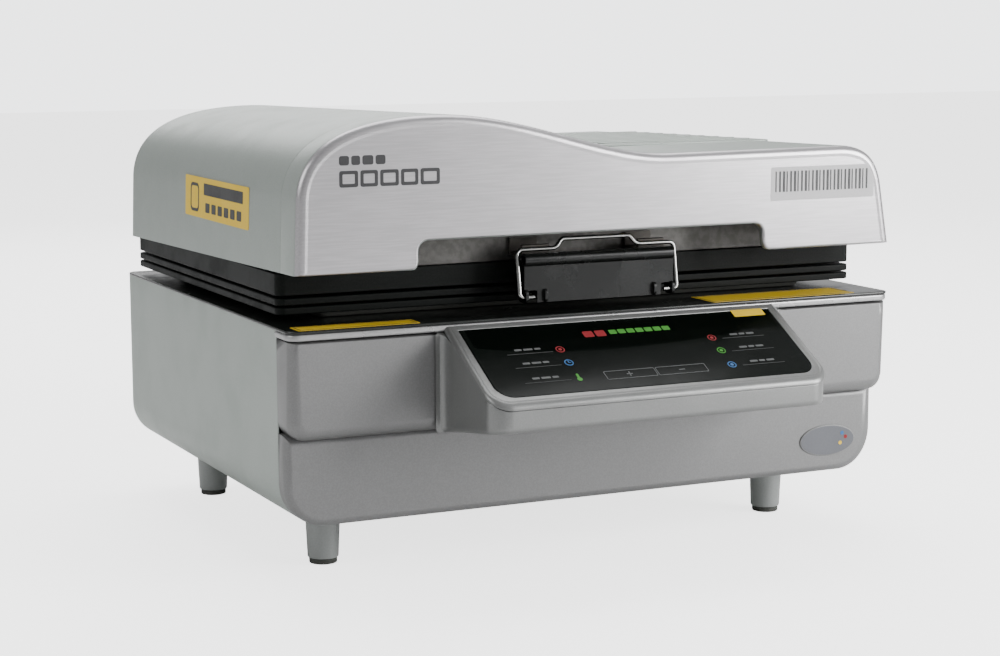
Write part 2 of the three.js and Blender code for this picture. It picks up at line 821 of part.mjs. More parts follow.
function latchBail() {
  const pivotZ = latchZ;
  const barZ = latchZ + bailRise;
  const lean = bailPivotForward / bailRise;
  const right = [
    [bailBumpHalf - 4, barZ + bailBump],
    [bailBumpHalf + 2, barZ + bailBump / 2],
    [bailBumpHalf + 8, barZ],
    [bailHalf - 6, barZ],
    [bailHalf - 1.5, barZ - 1.5],
    [bailHalf, barZ - 6],
    [bailHalf, (barZ + pivotZ) / 2],
    [bailHalf, pivotZ + 6],
    [bailHalf - 1.2, pivotZ + 1.2],
    [bailHalf - 3.4, pivotZ],
    [leverHalf - 4.5, pivotZ],
  ];
  const left = right.map(([x, z]) => [-x, z]).reverse();
  const points = [...left, [0, barZ + bailBump], ...right].map(([x, z]) => [
    x,
    bailPivotY + (z - pivotZ) * lean,
    z,
  ]);
  return bentRod(points, bailWire, 3, 50);
}

// J-shaped keeper under the lid's front wall that the bail's bar hooks into.
function keeper(x0, x1) {
  const wallY = casingFrontY - touchGap;
  const lipY = latchY + bailWire + 2;
  const foot = latchZ + bailRise - 8;
  const hook = outline([
    [wallY, foot + 16],
    [wallY - 3, foot + 16],
    [wallY - 3, foot + 3],
    [lipY + 5, foot + 3],
    [lipY + 3, foot + 5],
    [lipY + 3, foot + 12],
    [lipY, foot + 12],
    [lipY, foot + 3],
    [lipY + 3, foot],
    [wallY, foot],
  ]);
  return prismAcross(hook, x0, x1);
}

// ---------------------------------------------------------------- base housing
function baseWrap() {
  const y0 = fasciaDepthY + touchGap;
  const shell = cut(
    prismBack(trough(baseHalf, floorZ, housingTop, cornerRadius), y0, bodyDepth),
    prismBack(
      trough(baseHalf - sheet, floorZ + sheet, housingTop + overcut, cornerRadius - sheet),
      0,
      bodyDepth + overcut,
    ),
  );
  const slots = [];
  for (let i = 0; i < 6; i += 1) {
    const x = 60 + i * 16;
    slots.push(block(x, x + 6, workY - 50, workY + 50, floorZ - overcut, floorZ + overcut));
  }
  return cut(shell, ...slots);
}

// Front moulding: an overhanging upper block above a set-back lower face.
function baseFascia() {
  const y1 = fasciaDepthY;
  const upper = prismUp(frontRounded(baseHalf, blockFrontY, y1, blockEdge), blockBottom, housingTop);
  const lower = prismBack(trough(baseHalf, floorZ, blockBottom + 10, cornerRadius), lowerFrontY, y1);
  const lowerPlan = frontRounded(baseHalf, lowerFrontY, y1, lowerEdge);
  const rounded = lower.intersect(prismUp(lowerPlan, floorZ - overcut, blockBottom + 20));
  const w = moulding;
  const upperHollow = prismUp(
    frontRounded(baseHalf - w, blockFrontY + w, y1 + overcut, blockEdge - w),
    blockBottom + w,
    housingTop - w,
  );
  const lowerHollow = prismBack(
    trough(baseHalf - w, floorZ + w, blockBottom + w + overcut, cornerRadius - w),
    lowerFrontY + w,
    y1 + overcut,
  ).intersect(
    prismUp(
      frontRounded(baseHalf - w, lowerFrontY + w, y1 + overcut, lowerEdge - w),
      floorZ,
      blockBottom + 20,
    ),
  );
  const cableWay = block(-110, 110, -overcut, blockFrontY + 2 * w, blockBottom + 30, housingTop - 25);
  return cut(join(upper, rounded), upperHollow, lowerHollow, cableWay);
}

function deckPlate() {
  const half = baseHalf + deckOverhang;
  const outer = roundedRect(-half, half, deckFrontY, bodyDepth, blockEdge);
  return flatRing(outer, workRect(0), deckBottom, deckHeight);
}

// The tray's clear rectangle, grown by a margin.
function workRect(margin, radius = 6) {
  return roundedRect(
    -workWidth / 2 - margin,
    workWidth / 2 + margin,
    workY - workDepth / 2 - margin,
    workY + workDepth / 2 + margin,
    radius,
  );
}

function vacuumTray() {
  const body = join(
    prismUp(workRect(sheet), panBottom, housingTop),
    prismUp(workRect(panFlange), housingTop - 2.5, housingTop),
    bar([0, workY, panBottom - 16], [0, workY, panBottom + 1], hoseRadius + 2),
  );
  const hollow = prismUp(workRect(0), panBottom + sheet, housingTop + overcut);
  const port = bar([0, workY, panBottom - 30], [0, workY, panBottom + overcut], hoseRadius);
  return cut(body, hollow, port);
}

// Perforated plate that the mugs lie on, on four short legs.
function trayPlaten() {
  const z0 = platenTop - platenSheet;
  const holes = [];
  for (let i = 0; i < platenColumns; i += 1) {
    for (let j = 0; j < platenRows; j += 1) {
      const x = ((i + 0.5) / platenColumns - 0.5) * (workWidth - 60);
      const y = workY + ((j + 0.5) / platenRows - 0.5) * (workDepth - 60);
      holes.push(bar([x, y, z0 - overcut], [x, y, platenTop + overcut], platenHole, 6));
    }
  }
  const parts = [cut(prismUp(workRect(-platenSide, 3), z0, platenTop, 1), ...holes)];
  for (const side of [-1, 1]) {
    for (const end of [-1, 1]) {
      const x = side * (workWidth / 2 - 25);
      const y = workY + end * (workDepth / 2 - 25);
      parts.push(block(x - 6, x + 6, y - 6, y + 6, panBottom + sheet + touchGap, z0 + 1));
    }
  }
  return join(...parts);
}

function deckSeal() {
  const outer = workRect(sealInset + sealWidth, 12);
  return flatRing(outer, workRect(sealInset, 8), deckHeight + touchGap, frameBottom - touchGap);
}

// ---------------------------------------------------------------- console
const consoleBackY = blockFrontY - touchGap;
const consoleTopBack = housingTop - touchGap;
const slope = Math.atan2(consoleTopBack - consoleTopFront, consoleBackY - consoleFrontY - 2);
const slopeLength = (consoleBackY - consoleFrontY - 2) / Math.cos(slope);

// A flat piece laid in the sloped top: v runs up the slope from its front edge, w out of it.
function onSlope(halfX, v0, v1, w0, w1, radius) {
  const shape = roundedRect(-halfX, halfX, v0 - slopeLength, v1 - slopeLength, radius);
  const geometry = extruded(shape, w1 - w0, 3).translate(0, 0, w0).rotateX(slope);
  return solidFrom(geometry.translate(0, consoleBackY, consoleTopBack));
}

function consoleHousing() {
  const side = (inset) =>
    outline([
      [consoleBackY, consoleTopBack - inset * 1.15],
      [consoleFrontY + 2 + inset * 0.8, consoleTopFront - inset],
      [consoleFrontY + inset, consoleTopFront - 4 - inset * 0.4],
      [consoleFrontY + inset, consoleBottomFront + inset * 0.7],
      [consoleBackY, blockBottom + inset * 1.1],
    ]);
  const plan = (inset, backY) =>
    frontRounded(consoleHalf - inset, consoleFrontY + inset, backY, consoleEdge - inset);
  const solid = prismAcross(side(0), -consoleHalf, consoleHalf).intersect(
    prismUp(plan(0, consoleBackY + overcut), 0, deckHeight),
  );
  const w = moulding;
  const back = block(
    -consoleHalf + w,
    consoleHalf - w,
    consoleBackY - 1,
    consoleBackY + overcut,
    blockBottom + 2 * w,
    consoleTopBack - 2 * w,
  );
  const hollow = prismAcross(side(w), -consoleHalf + w, consoleHalf - w).intersect(
    prismUp(plan(w, consoleBackY + overcut), 0, deckHeight),
  );
  const pocketHalf = consoleHalf - glassMargin + touchGap;
  const pocket = onSlope(
    pocketHalf,
    glassFront - touchGap,
    slopeLength - glassBack + touchGap,
    -glassSheet - touchGap,
    overcut,
    glassCorner,
  );
  const window = onSlope(pocketHalf - 6, glassFront + 6, slopeLength - glassBack - 6, -20, 1, 8);
  return cut(solid, hollow, back, pocket, window);
}

function controlGlass() {
  const halfX = consoleHalf - glassMargin;
  return onSlope(halfX, glassFront, slopeLength - glassBack, -glassSheet, 0, glassCorner);
}

function controlBoard() {
  const face = -glassSheet - 4.5;
  const board = onSlope(120, glassFront + 10, slopeLength - glassBack - 8, face - 1.6, face, 2);
  const chip = onSlope(14, glassFront + 28, glassFront + 52, face - 4, face - 1, 1);
  const display = onSlope(34, glassFront + 50, glassFront + 66, face - 0.5, face + 3, 1);
  return join(board, chip, display);
}

// ---------------------------------------------------------------- rear fittings
function rearPanel() {
  const y1 = bodyDepth - rearSheetInset;
  const inset = sheet + touchGap;
  const shape = trough(baseHalf - inset, floorZ + inset, housingTop - 1, cornerRadius - inset);
  const through = [y1 - 2 * sheet, y1 + sheet];
  const tools = [
    block(inletX - 14, inletX + 14, ...through, fittingsZ - 11, fittingsZ + 11),
    block(switchX - 11, switchX + 11, ...through, fittingsZ - 14.3, fittingsZ + 14.3),
    bar([fuseX, through[0], fittingsZ], [fuseX, through[1], fittingsZ], 6.5),
  ];
  for (let i = -3; i <= 3; i += 1) {
    const z = coolerZ + i * 9.5;
    const reach = Math.sqrt((coolerHalf - 3) ** 2 - (i * 9.5) ** 2);
    tools.push(block(coolerX - reach, coolerX + reach, ...through, z - 2.6, z + 2.6));
  }
  for (let i = 0; i < 8; i += 1) {
    const x = -60 + i * 13;
    tools.push(block(x, x + 5, ...through, fittingsZ - 20, fittingsZ + 30));
  }
  return cut(prismBack(shape, y1 - sheet, y1), ...tools);
}

const panelY = bodyDepth - rearSheetInset;

function mainsInlet() {
  const y0 = panelY + touchGap;
  const z = fittingsZ;
  const shell = join(
    block(inletX - 16, inletX + 16, y0, y0 + 2, z - 14, z + 14),
    block(inletX - 13.6, inletX + 13.6, panelY - 20, y0 + 1, z - 10.6, z + 10.6),
  );
  const [w, h] = inletHalf;
  const socket = block(inletX - w, inletX + w, panelY - 17, y0 + overcut, z - h, z + h);
  const pins = [-7, 0, 7].map((dx) => {
    const dz = dx === 0 ? 2.5 : -1.5;
    return block(inletX + dx - 1, inletX + dx + 1, panelY - 18, panelY - 3, z + dz - 2, z + dz + 2);
  });
  return join(cut(shell, socket), ...pins);
}

function fuseHolder() {
  const y0 = panelY + touchGap;
  return join(
    bar([fuseX, panelY - 26, fittingsZ], [fuseX, y0 + 1, fittingsZ], 6.2),
    bar([fuseX, y0, fittingsZ], [fuseX, y0 + 2, fittingsZ], 9),
    bar([fuseX, y0 + 1, fittingsZ], [fuseX, y0 + 7, fittingsZ], 6, 12),
  );
}

const rockerY = panelY - 5; // the rocker's pivot
const rockerTilt = THREE.MathUtils.degToRad(9); // either side of the middle

function switchBezel() {
  const y0 = panelY + touchGap;
  const z = fittingsZ;
  const shell = join(
    block(switchX - 13, switchX + 13, y0, y0 + 2, z - 17, z + 17),
    block(switchX - 10.6, switchX + 10.6, panelY - 22, y0 + 1, z - 13.9, z + 13.9),
  );
  const [w, h] = switchHalf;
  const well = block(switchX - w, switchX + w, panelY - 16, y0 + overcut, z - h, z + h);
  return cut(shell, well);
}

// Seen from the side, about its pivot: two faces that meet in a shallow V.
function switchRocker() {
  const fall = Math.tan(rockerTilt);
  const shape = outline([
    [-3, -5],
    [5 + 10 * fall, -10],
    [6.5, 0],
    [5 + 10 * fall, 10],
    [-3, 5],
  ]);
  return prismAcross(shape, 0.5 - switchHalf[0], switchHalf[0] - 0.5);
}

function coolingFanFrame() {
  const y1 = panelY - sheet - touchGap;
  const y0 = y1 - coolerDepth;
  const h = coolerHalf;
  const duct = cut(
    block(coolerX - h, coolerX + h, y0, y1, coolerZ - h, coolerZ + h),
    bar([coolerX, y0 - overcut, coolerZ], [coolerX, y1 + overcut, coolerZ], h - 2, 24),
  );
  const parts = [duct];
  for (const [dx, dz] of [[h, 3], [3, h]]) {
    parts.push(block(coolerX - dx, coolerX + dx, y0, y0 + 2.5, coolerZ - dz, coolerZ + dz));
  }
  parts.push(bar([coolerX, y0, coolerZ], [coolerX, y0 + 2.5, coolerZ], coolerHub, 16));
  parts.push(bar([coolerX, y0, coolerZ], [coolerX, y0 + 14, coolerZ], 3, 12));
  return join(...parts);
}

function coolingFanRotor() {
  const y1 = panelY - sheet - touchGap;
  const y0 = y1 - coolerDepth + 3.5;
  const parts = [bar([0, y0, 0], [0, y1 - 2, 0], coolerHub, 20)];
  for (let i = 0; i < coolerBlades; i += 1) {
    const blade = new THREE.BoxGeometry(coolerHalf - 18, 1.6, 15);
    blade.rotateX(THREE.MathUtils.degToRad(38));
    blade.translate((coolerHalf + 10) / 2, (y0 + y1) / 2 - 0.5, 0);
    parts.push(solidFrom(blade.rotateY((i / coolerBlades) * 2 * Math.PI)));
  }
  const bore = bar([0, y0 - overcut, 0], [0, y0 + 13, 0], 3 + runGap, 12);
  return cut(join(...parts), bore);
}

// ---------------------------------------------------------------- inside the base
const innerFloor = floorZ + sheet + touchGap;
const pumpZ = innerFloor + pumpLift;

function pumpMotor() {
  const x1 = pumpX + pumpMotorLength;
  return join(
    bar([pumpX, pumpY, pumpZ], [x1, pumpY, pumpZ], pumpMotorRadius, 24),
    bar([x1 - 1, pumpY, pumpZ], [x1 + 10, pumpY, pumpZ], pumpMotorRadius - 14, 20),
  );
}

function pumpHead() {
  const x1 = pumpX - touchGap;
  const x0 = x1 - 62;
  const r = pumpMotorRadius;
  const body = block(x0, x1, pumpY - r, pumpY + r, pumpZ - r, pumpZ + r - 8);
  const fins = [];
  for (let i = 0; i < 5; i += 1) {
    const x = x0 + 6 + i * 12;
    fins.push(block(x, x + 4, pumpY - r - 5, pumpY + r + 5, pumpZ - r + 8, pumpZ + r + 2));
  }
  const spigot = bar([x0 + 30, pumpY, pumpZ + r - 9], [x0 + 30, pumpY, pumpZ + r + 12], hoseRadius);
  return join(body, ...fins, spigot);
}

function pumpCradle() {
  const r = pumpMotorRadius;
  const x0 = pumpX - 70;
  const x1 = pumpX + pumpMotorLength;
  const foot = block(x0, x1, pumpY - r - 12, pumpY + r + 12, innerFloor, innerFloor + 3);
  const saddles = [pumpX + 14, x1 - 30].map((x) =>
    block(x, x + 10, pumpY - r + 4, pumpY + r - 4, innerFloor + 1, pumpZ - r / 2),
  );
  const room = bar([x0, pumpY, pumpZ], [x1 + 20, pumpY, pumpZ], r + touchGap, 24);
  return cut(join(foot, ...saddles), room);
}

function vacuumValve() {
  const z = innerFloor;
  return join(
    block(valveX - 16, valveX + 16, valveY - 16, valveY + 16, z, z + 60),
    bar([valveX, valveY, z + 55], [valveX, valveY, z + 82], 11, 16),
    bar([valveX + 10, valveY, z + 45], [valveX + 34, valveY, z + 45], hoseRadius, 12),
    bar([valveX - 10, valveY, z + 45], [valveX - 34, valveY, z + 45], hoseRadius, 12),
  );
}

// Held inside the base: from the tray's port down to the valve.
function vacuumHose() {
  const portZ = panBottom - 16 - touchGap;
  const z = innerFloor + 45;
  const startX = valveX + 34 + touchGap;
  return bentRod(
    [
      [startX, valveY, z],
      [startX + 14, valveY, z],
      [startX + 34, valveY + 20, z + 4],
      [startX + 30, workY - 26, z + 20],
      [8, workY - 6, portZ - 26],
      [0, workY, portZ - 10],
      [0, workY, portZ],
    ],
    hoseRadius,
    4,
    20,
  );
}

function powerBoard() {
  const z = innerFloor + boardLift;
  const parts = [block(boardX, boardX + boardWidth, boardY, boardY + boardDepth, z, z + 2)];
  for (const [dx, dy, w, d, h] of [
    [14, 14, 22, 16, 18],
    [46, 14, 22, 16, 18],
    [90, 60, 44, 36, 32],
    [16, 60, 20, 20, 30],
    [146, 16, 12, 70, 14],
  ]) {
    const x = boardX + dx;
    const y = boardY + dy;
    parts.push(block(x, x + w, y, y + d, z + 1, z + h));
  }
  for (const x of [boardX + 6, boardX + boardWidth - 6]) {
    for (const y of [boardY + 6, boardY + boardDepth - 6]) {
      parts.push(bar([x, y, innerFloor], [x, y, z + 1], 3, 8));
    }
  }
  return join(...parts);
}

// ---------------------------------------------------------------- feet
function foot() {
  return turned([
    [0, padHeight + touchGap],
    [footBottomRadius - 1, padHeight + touchGap],
    [footBottomRadius, padHeight + 1.5],
    [footTopRadius, footHeight - 6],
    [footTopRadius + 1.5, footHeight - touchGap],
    [0, footHeight - touchGap],
  ], 20);
}

function footPad() {
  return turned([
    [0, 0],
    [padRadius - 1, 0],
    [padRadius, 1],
    [padRadius, padHeight],
    [0, padHeight],
  ], 20);
}

// ---------------------------------------------------------------- assembly
const press = new THREE.Group();
const base = new THREE.Group();
const membraneFrame = new THREE.Group();
const lid = new THREE.Group();
press.add(base, membraneFrame, lid);
press.position.y = -middleY;

add(base, "base_wrap", baseWrap(), silverPaint);
add(base, "base_fascia", baseFascia(), silverPaint);
add(base, "base_rear_panel", rearPanel(), silverPaint);
add(base, "deck_plate", deckPlate(), deckBlack);
add(base, "vacuum_tray", vacuumTray(), aluminium);
add(base, "tray_platen", trayPlaten(), aluminium);
add(base, "deck_seal", deckSeal(), rubber);
add(base, "console_housing", consoleHousing(), bezelGrey).position.x = consoleX;
add(base, "control_glass", controlGlass(), glassBlack).position.x = consoleX;
add(base, "control_board", controlBoard(), boardGreen).position.x = consoleX;
add(base, "pump_motor", pumpMotor(), motorBlack);
add(base, "pump_head", pumpHead(), aluminium);
add(base, "pump_cradle", pumpCradle(), zincSheet);
add(base, "vacuum_valve", vacuumValve(), blackPlastic);
add(base, "vacuum_hose", vacuumHose(), silicone);
add(base, "power_board", powerBoard(), boardGreen);
add(base, "mains_inlet", mainsInlet(), blackPlastic);
add(base, "fuse_holder", fuseHolder(), blackPlastic);
add(base, "switch_bezel", switchBezel(), blackPlastic);
add(base, "cooling_fan_frame", coolingFanFrame(), blackPlastic);

const rocker = add(base, "switch_rocker", switchRocker(), blackPlastic);
rocker.position.set(switchX, rockerY, fittingsZ);
rocker.rotation.x = rockerTilt;
const rotor = add(base, "cooling_fan_rotor", coolingFanRotor(), blackPlastic);
rotor.position.set(coolerX, 0, coolerZ);

const footX = baseHalf - footInsetX;
const footPlaces = {
  front_left: [-footX, footFrontY],
  front_right: [footX, footFrontY],
  rear_left: [-footX, bodyDepth - footRearInset],
  rear_right: [footX, bodyDepth - footRearInset],
};
for (const [place, [x, y]] of Object.entries(footPlaces)) {
  add(base, `foot_${place}`, foot(), footGrey).position.set(x, y, 0);
  add(base, `foot_pad_${place}`, footPad(), rubber).position.set(x, y, 0);
}

for (const [side, x] of [["left", -hingeX], ["right", hingeX]]) {
  add(base, `hinge_bracket_${side}`, hingeBracket(x), zincSheet);
  add(base, `hinge_pin_${side}`, hingePin(x), bareSteel);
  add(base, `hinge_spring_${side}`, hingeSpring(x), bareSteel);
  add(lid, `hinge_arm_${side}`, hingeArm(x), zincSheet);
}

add(membraneFrame, "frame_lower", frameLower(), bandBlack);
add(membraneFrame, "frame_upper", ringPlate(upperRingBottom), bandBlack);
add(membraneFrame, "silicone_membrane", siliconeMembrane(), silicone);
add(membraneFrame, "latch_bracket", latchBracket(), deckBlack);
add(membraneFrame, "latch_pin", latchPin(), bareSteel);
add(membraneFrame, "latch_lever", latchLever(), deckBlack);
add(membraneFrame, "latch_bail", latchBail(), bareSteel);

add(lid, "lid_cover", lidCover(), silverPaint);
add(lid, "lid_front_panel", lidFrontPanel(), frontSilver);
add(lid, "lid_rear_panel", lidRearPanel(), silverPaint);
add(lid, "chamber_casing", chamberCasing(), zincSheet);
add(lid, "chamber_insulation", chamberInsulation(), insulationWool);
add(lid, "chamber_liner", chamberLiner(), aluminium);
add(lid, "chamber_flange", chamberFlange(), bandBlack);
add(lid, "air_baffle", airBaffle(), bareSteel);
add(lid, "heater_front", heater(heaterOffsets[0]), bareSteel);
add(lid, "heater_rear", heater(heaterOffsets[1]), bareSteel);
add(lid, "temperature_probe", temperatureProbe(), bareSteel);
add(lid, "fan_motor", fanMotor(), motorBlack).position.set(fanX, workY, 0);
add(lid, "keeper_left", keeper(-keeperTo, -keeperFrom), keeperBronze);
add(lid, "keeper_right", keeper(keeperFrom, keeperTo), keeperBronze);
add(lid, "convection_fan", convectionFan(), aluminium).position.set(fanX, workY, 0);

export default press;
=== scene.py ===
import logging
import math
from dataclasses import dataclass
from enum import Enum
from functools import cache
from typing import Callable, Iterable, Sequence

import bmesh
import bpy
from mathutils import Matrix, Vector


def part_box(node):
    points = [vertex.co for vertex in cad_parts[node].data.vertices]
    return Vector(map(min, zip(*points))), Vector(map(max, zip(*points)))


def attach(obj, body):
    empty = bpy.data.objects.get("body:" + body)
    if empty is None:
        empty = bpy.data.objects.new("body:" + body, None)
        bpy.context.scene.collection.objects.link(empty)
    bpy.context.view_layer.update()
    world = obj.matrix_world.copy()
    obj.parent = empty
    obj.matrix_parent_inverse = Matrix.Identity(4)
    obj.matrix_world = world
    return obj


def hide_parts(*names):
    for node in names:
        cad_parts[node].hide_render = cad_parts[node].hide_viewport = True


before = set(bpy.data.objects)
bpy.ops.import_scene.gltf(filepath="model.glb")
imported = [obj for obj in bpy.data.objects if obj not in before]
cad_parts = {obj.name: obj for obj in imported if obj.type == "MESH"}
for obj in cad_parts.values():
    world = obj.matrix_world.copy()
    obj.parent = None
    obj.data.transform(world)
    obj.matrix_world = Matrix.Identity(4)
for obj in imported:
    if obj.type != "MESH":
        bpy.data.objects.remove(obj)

# Looks of a free-standing vacuum heat press. Lengths are millimetres until a mesh is placed; y
# counts backwards from the lid's front face, and x and z are the frame's own.
LOG = logging.getLogger("heat_press")
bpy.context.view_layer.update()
MM = 0.001
LID_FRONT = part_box("lid_front_panel")[0].y

Point = tuple[float, float]
Loop = list[Point]
Color = tuple[float, float, float]
Piece = bpy.types.Object
Socket = bpy.types.NodeSocket
Placer = Callable[[float, float, float], Vector]


def at(x: float, y: float, z: float) -> Vector:
    """A place in the frame, in metres."""
    return Vector((x * MM, y * MM + LID_FRONT, z * MM))


def low(node: str) -> Vector:
    """A CAD node's lowest corner, in mm from the lid's front."""
    return (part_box(node)[0] - Vector((0, LID_FRONT, 0))) / MM


def high(node: str) -> Vector:
    """A CAD node's highest corner, in mm from the lid's front."""
    return (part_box(node)[1] - Vector((0, LID_FRONT, 0))) / MM


def span(node: str) -> tuple[Vector, Vector]:
    """A CAD node's lowest and highest corners, in mm from the lid's front."""
    return low(node), high(node)


def centre(node: str, axis: int) -> float:
    """The middle of a CAD node's box along an axis, in mm from the lid's front."""
    return (low(node)[axis] + high(node)[axis]) / 2


# Planes that several sub-assemblies share, read off the frame.
BACK = high("base_wrap").y
SEAM = high("base_fascia").y
DECK_TOP = high("deck_plate").z
DECK_BOTTOM = low("deck_plate").z
BAND_TOP = high("chamber_flange").z
LID_EDGE = BAND_TOP + 4
LID_HALF = high("lid_front_panel").x
BASE_HALF = high("base_wrap").x
DECK_HALF = high("deck_plate").x
BAND_HALF = high("frame_upper").x
BAND_FRONT = low("frame_upper").y
BAND_REAR = high("frame_upper").y
TRAY_FRONT = low("tray_platen").y - 3
TRAY_REAR = high("tray_platen").y + 3
TRAY_HALF = high("tray_platen").x + 3
HINGE_Y, HINGE_Z = (centre("hinge_pin_left", axis) for axis in (1, 2))
PIVOT_Y, PIVOT_Z = (centre("latch_pin", axis) for axis in (1, 2))

# Sizes that several sub-assemblies share.
SHEET_WALL = 1.8
MOULDED_WALL = 2.4
EDGE_STEPS = 6


# ---------------------------------------------------------------- outlines
class Outline:
    """A flat line of straight, round and curved stretches; each edge has a rounding and a depth."""

    def __init__(self, u: float, v: float, rounding: float = 0.0, depth: float = 0.0) -> None:
        """Starts the line.

        Args:
            u: First coordinate of the start.
            v: Second coordinate of the start.
            rounding: Edge radius of the stretches that follow.
            depth: Depth of the return behind the stretches that follow.
        """
        self.points: Loop = [(u, v)]
        self.rounding = rounding
        self.depth = depth
        self.roundings: list[float] = []
        self.depths: list[float] = []

    def edge(self, rounding: float, depth: float) -> "Outline":
        """Sets the rounding and depth of the stretches that follow."""
        self.rounding = rounding
        self.depth = depth
        return self

    def line(self, u: float, v: float) -> "Outline":
        """Adds a straight stretch to (u, v)."""
        self.points.append((u, v))
        self.roundings.append(self.rounding)
        self.depths.append(self.depth)
        return self

    def arc(self, u: float, v: float, radius: float, start: float, end: float, pieces: int = 8) -> "Outline":
        """Adds a round stretch.

        Args:
            u: First coordinate of the centre.
            v: Second coordinate of the centre.
            radius: Its radius.
            start: First angle in degrees, anticlockwise from +u.
            end: Last angle in degrees.
            pieces: Number of straight pieces.

        Returns:
            The outline itself.
        """
        for i in range(pieces + 1):
            angle = math.radians(start + (end - start) * i / pieces)
            here = (u + radius * math.cos(angle), v + radius * math.sin(angle))
            if math.dist(here, self.points[-1]) > 1e-4:
                self.line(*here)
        return self

    def curve(self, first: Point, second: Point, end: Point, pieces: int = 24) -> "Outline":
        """Adds a Bezier stretch.

        Args:
            first: Handle of the start.
            second: Handle of the end.
            end: Where it ends.
            pieces: Number of straight pieces.

        Returns:
            The outline itself.
        """
        start = self.points[-1]
        for i in range(1, pieces + 1):
            t = i / pieces
            weights = ((1 - t) ** 3, 3 * t * (1 - t) ** 2, 3 * t * t * (1 - t), t**3)
            handles = (start, first, second, end)
            self.line(*(sum(w * h[k] for w, h in zip(weights, handles)) for k in (0, 1)))
        return self

    def lower_corners(self, half: float, v: float, radius: float, pieces: int = 8) -> "Outline":
        """Adds both lower corners of a shape that is symmetric about u = 0 and has its bottom at v."""
        self.arc(radius - half, v + radius, radius, 180, 270, pieces)
        return self.arc(half - radius, v + radius, radius, 270, 360, pieces)

    def close(self) -> "Outline":
        """Gives the closing edge the present rounding and depth."""
        if math.dist(self.points[0], self.points[-1]) < 1e-4:
            self.points.pop()
        else:
            self.roundings.append(self.rounding)
            self.depths.append(self.depth)
        return self


def rounded(u0: float, u1: float, v0: float, v1: float, radius: float) -> Loop:
    """An anticlockwise rectangle from u0 to u1 and v0 to v1, with rounded corners."""
    r = min(radius, (u1 - u0) / 2, (v1 - v0) / 2)
    line = Outline(u0, v0 + r).arc(u0 + r, v0 + r, r, 180, 270).arc(u1 - r, v0 + r, r, 270, 360)
    return line.arc(u1 - r, v1 - r, r, 0, 90).arc(u0 + r, v1 - r, r, 90, 180).close().points


def circle(u: float, v: float, radius: float, pieces: int = 32) -> Loop:
    """A circle's points."""
    return Outline(u + radius, v).arc(u, v, radius, 0, 360, pieces).close().points


def inset(points: Loop, amounts: Sequence[float]) -> Loop:
    """Moves each edge of an anticlockwise loop inwards by its own amount.

    Args:
        points: The loop.
        amounts: One distance for each edge; edge i runs from point i to the next.

    Returns:
        The moved loop, point for point.
    """
    moved = []
    for i, (u, v) in enumerate(points):
        before = Vector(points[i]) - Vector(points[i - 1])
        after = Vector(points[(i + 1) % len(points)]) - Vector(points[i])
        n1 = Vector((-before.y, before.x)).normalized()
        n2 = Vector((-after.y, after.x)).normalized()
        a1, a2 = amounts[i - 1], amounts[i]
        cross = n1.x * n2.y - n1.y * n2.x
        if abs(cross) < 0.25:
            step = (n1 + n2).normalized() * ((a1 + a2) / 2)
        else:
            step = Vector(((a1 * n2.y - a2 * n1.y) / cross, (a2 * n1.x - a1 * n2.x) / cross))
        moved.append((u + step.x, v + step.y))
    return moved


def shrink(points: Loop, amount: float, last: float = 0.0) -> Loop:
    """Moves every edge of a loop inwards by one amount, and its closing edge by another."""
    return inset(points, [amount] * (len(points) - 1) + [last])


# ---------------------------------------------------------------- mesh work
def quarter_turn(steps: int) -> list[float]:
    """Angles from 0 to a quarter turn in equal steps."""
    return [math.pi / 2 * k / steps for k in range(steps + 1)]


def basis(u: Vector, v: Vector, w: Vector, origin: Vector) -> Matrix:
    """A matrix that takes mm along three directions to metres in the frame."""
    turn = Matrix((u, v, w)).transposed() * MM
    return Matrix.Translation(origin) @ turn.to_4x4()


X, Y, Z = Vector((1, 0, 0)), Vector((0, 1, 0)), Vector((0, 0, 1))


class Plane(Enum):
    """Where a flat outline lies, and which way its thickness goes."""

    UP = "x and y, thickness upwards"
    BACK = "x and z, thickness backwards"
    SIDE = "y and z, thickness to the right"

    @property
    def matrix(self) -> Matrix:
        """From outline coordinates to the frame."""
        turns = {Plane.UP: (X, Y, Z), Plane.BACK: (X, Z, Y), Plane.SIDE: (Y, Z, X)}
        return basis(*turns[self], at(0, 0, 0))


def make_object(name: str, data: bpy.types.ID) -> Piece:
    """Puts a mesh, a curve, a lamp or a camera into the scene as an object."""
    piece = bpy.data.objects.new(name, data)
    bpy.context.scene.collection.objects.link(piece)
    return piece


def from_bmesh(name: str, shell: bmesh.types.BMesh) -> Piece:
    """Welds a bmesh, turns its faces outwards and makes an object of it."""
    bmesh.ops.remove_doubles(shell, verts=shell.verts, dist=2e-6)
    bmesh.ops.recalc_face_normals(shell, faces=shell.faces)
    mesh = bpy.data.meshes.new(name)
    shell.to_mesh(mesh)
    shell.free()
    return make_object(name, mesh)


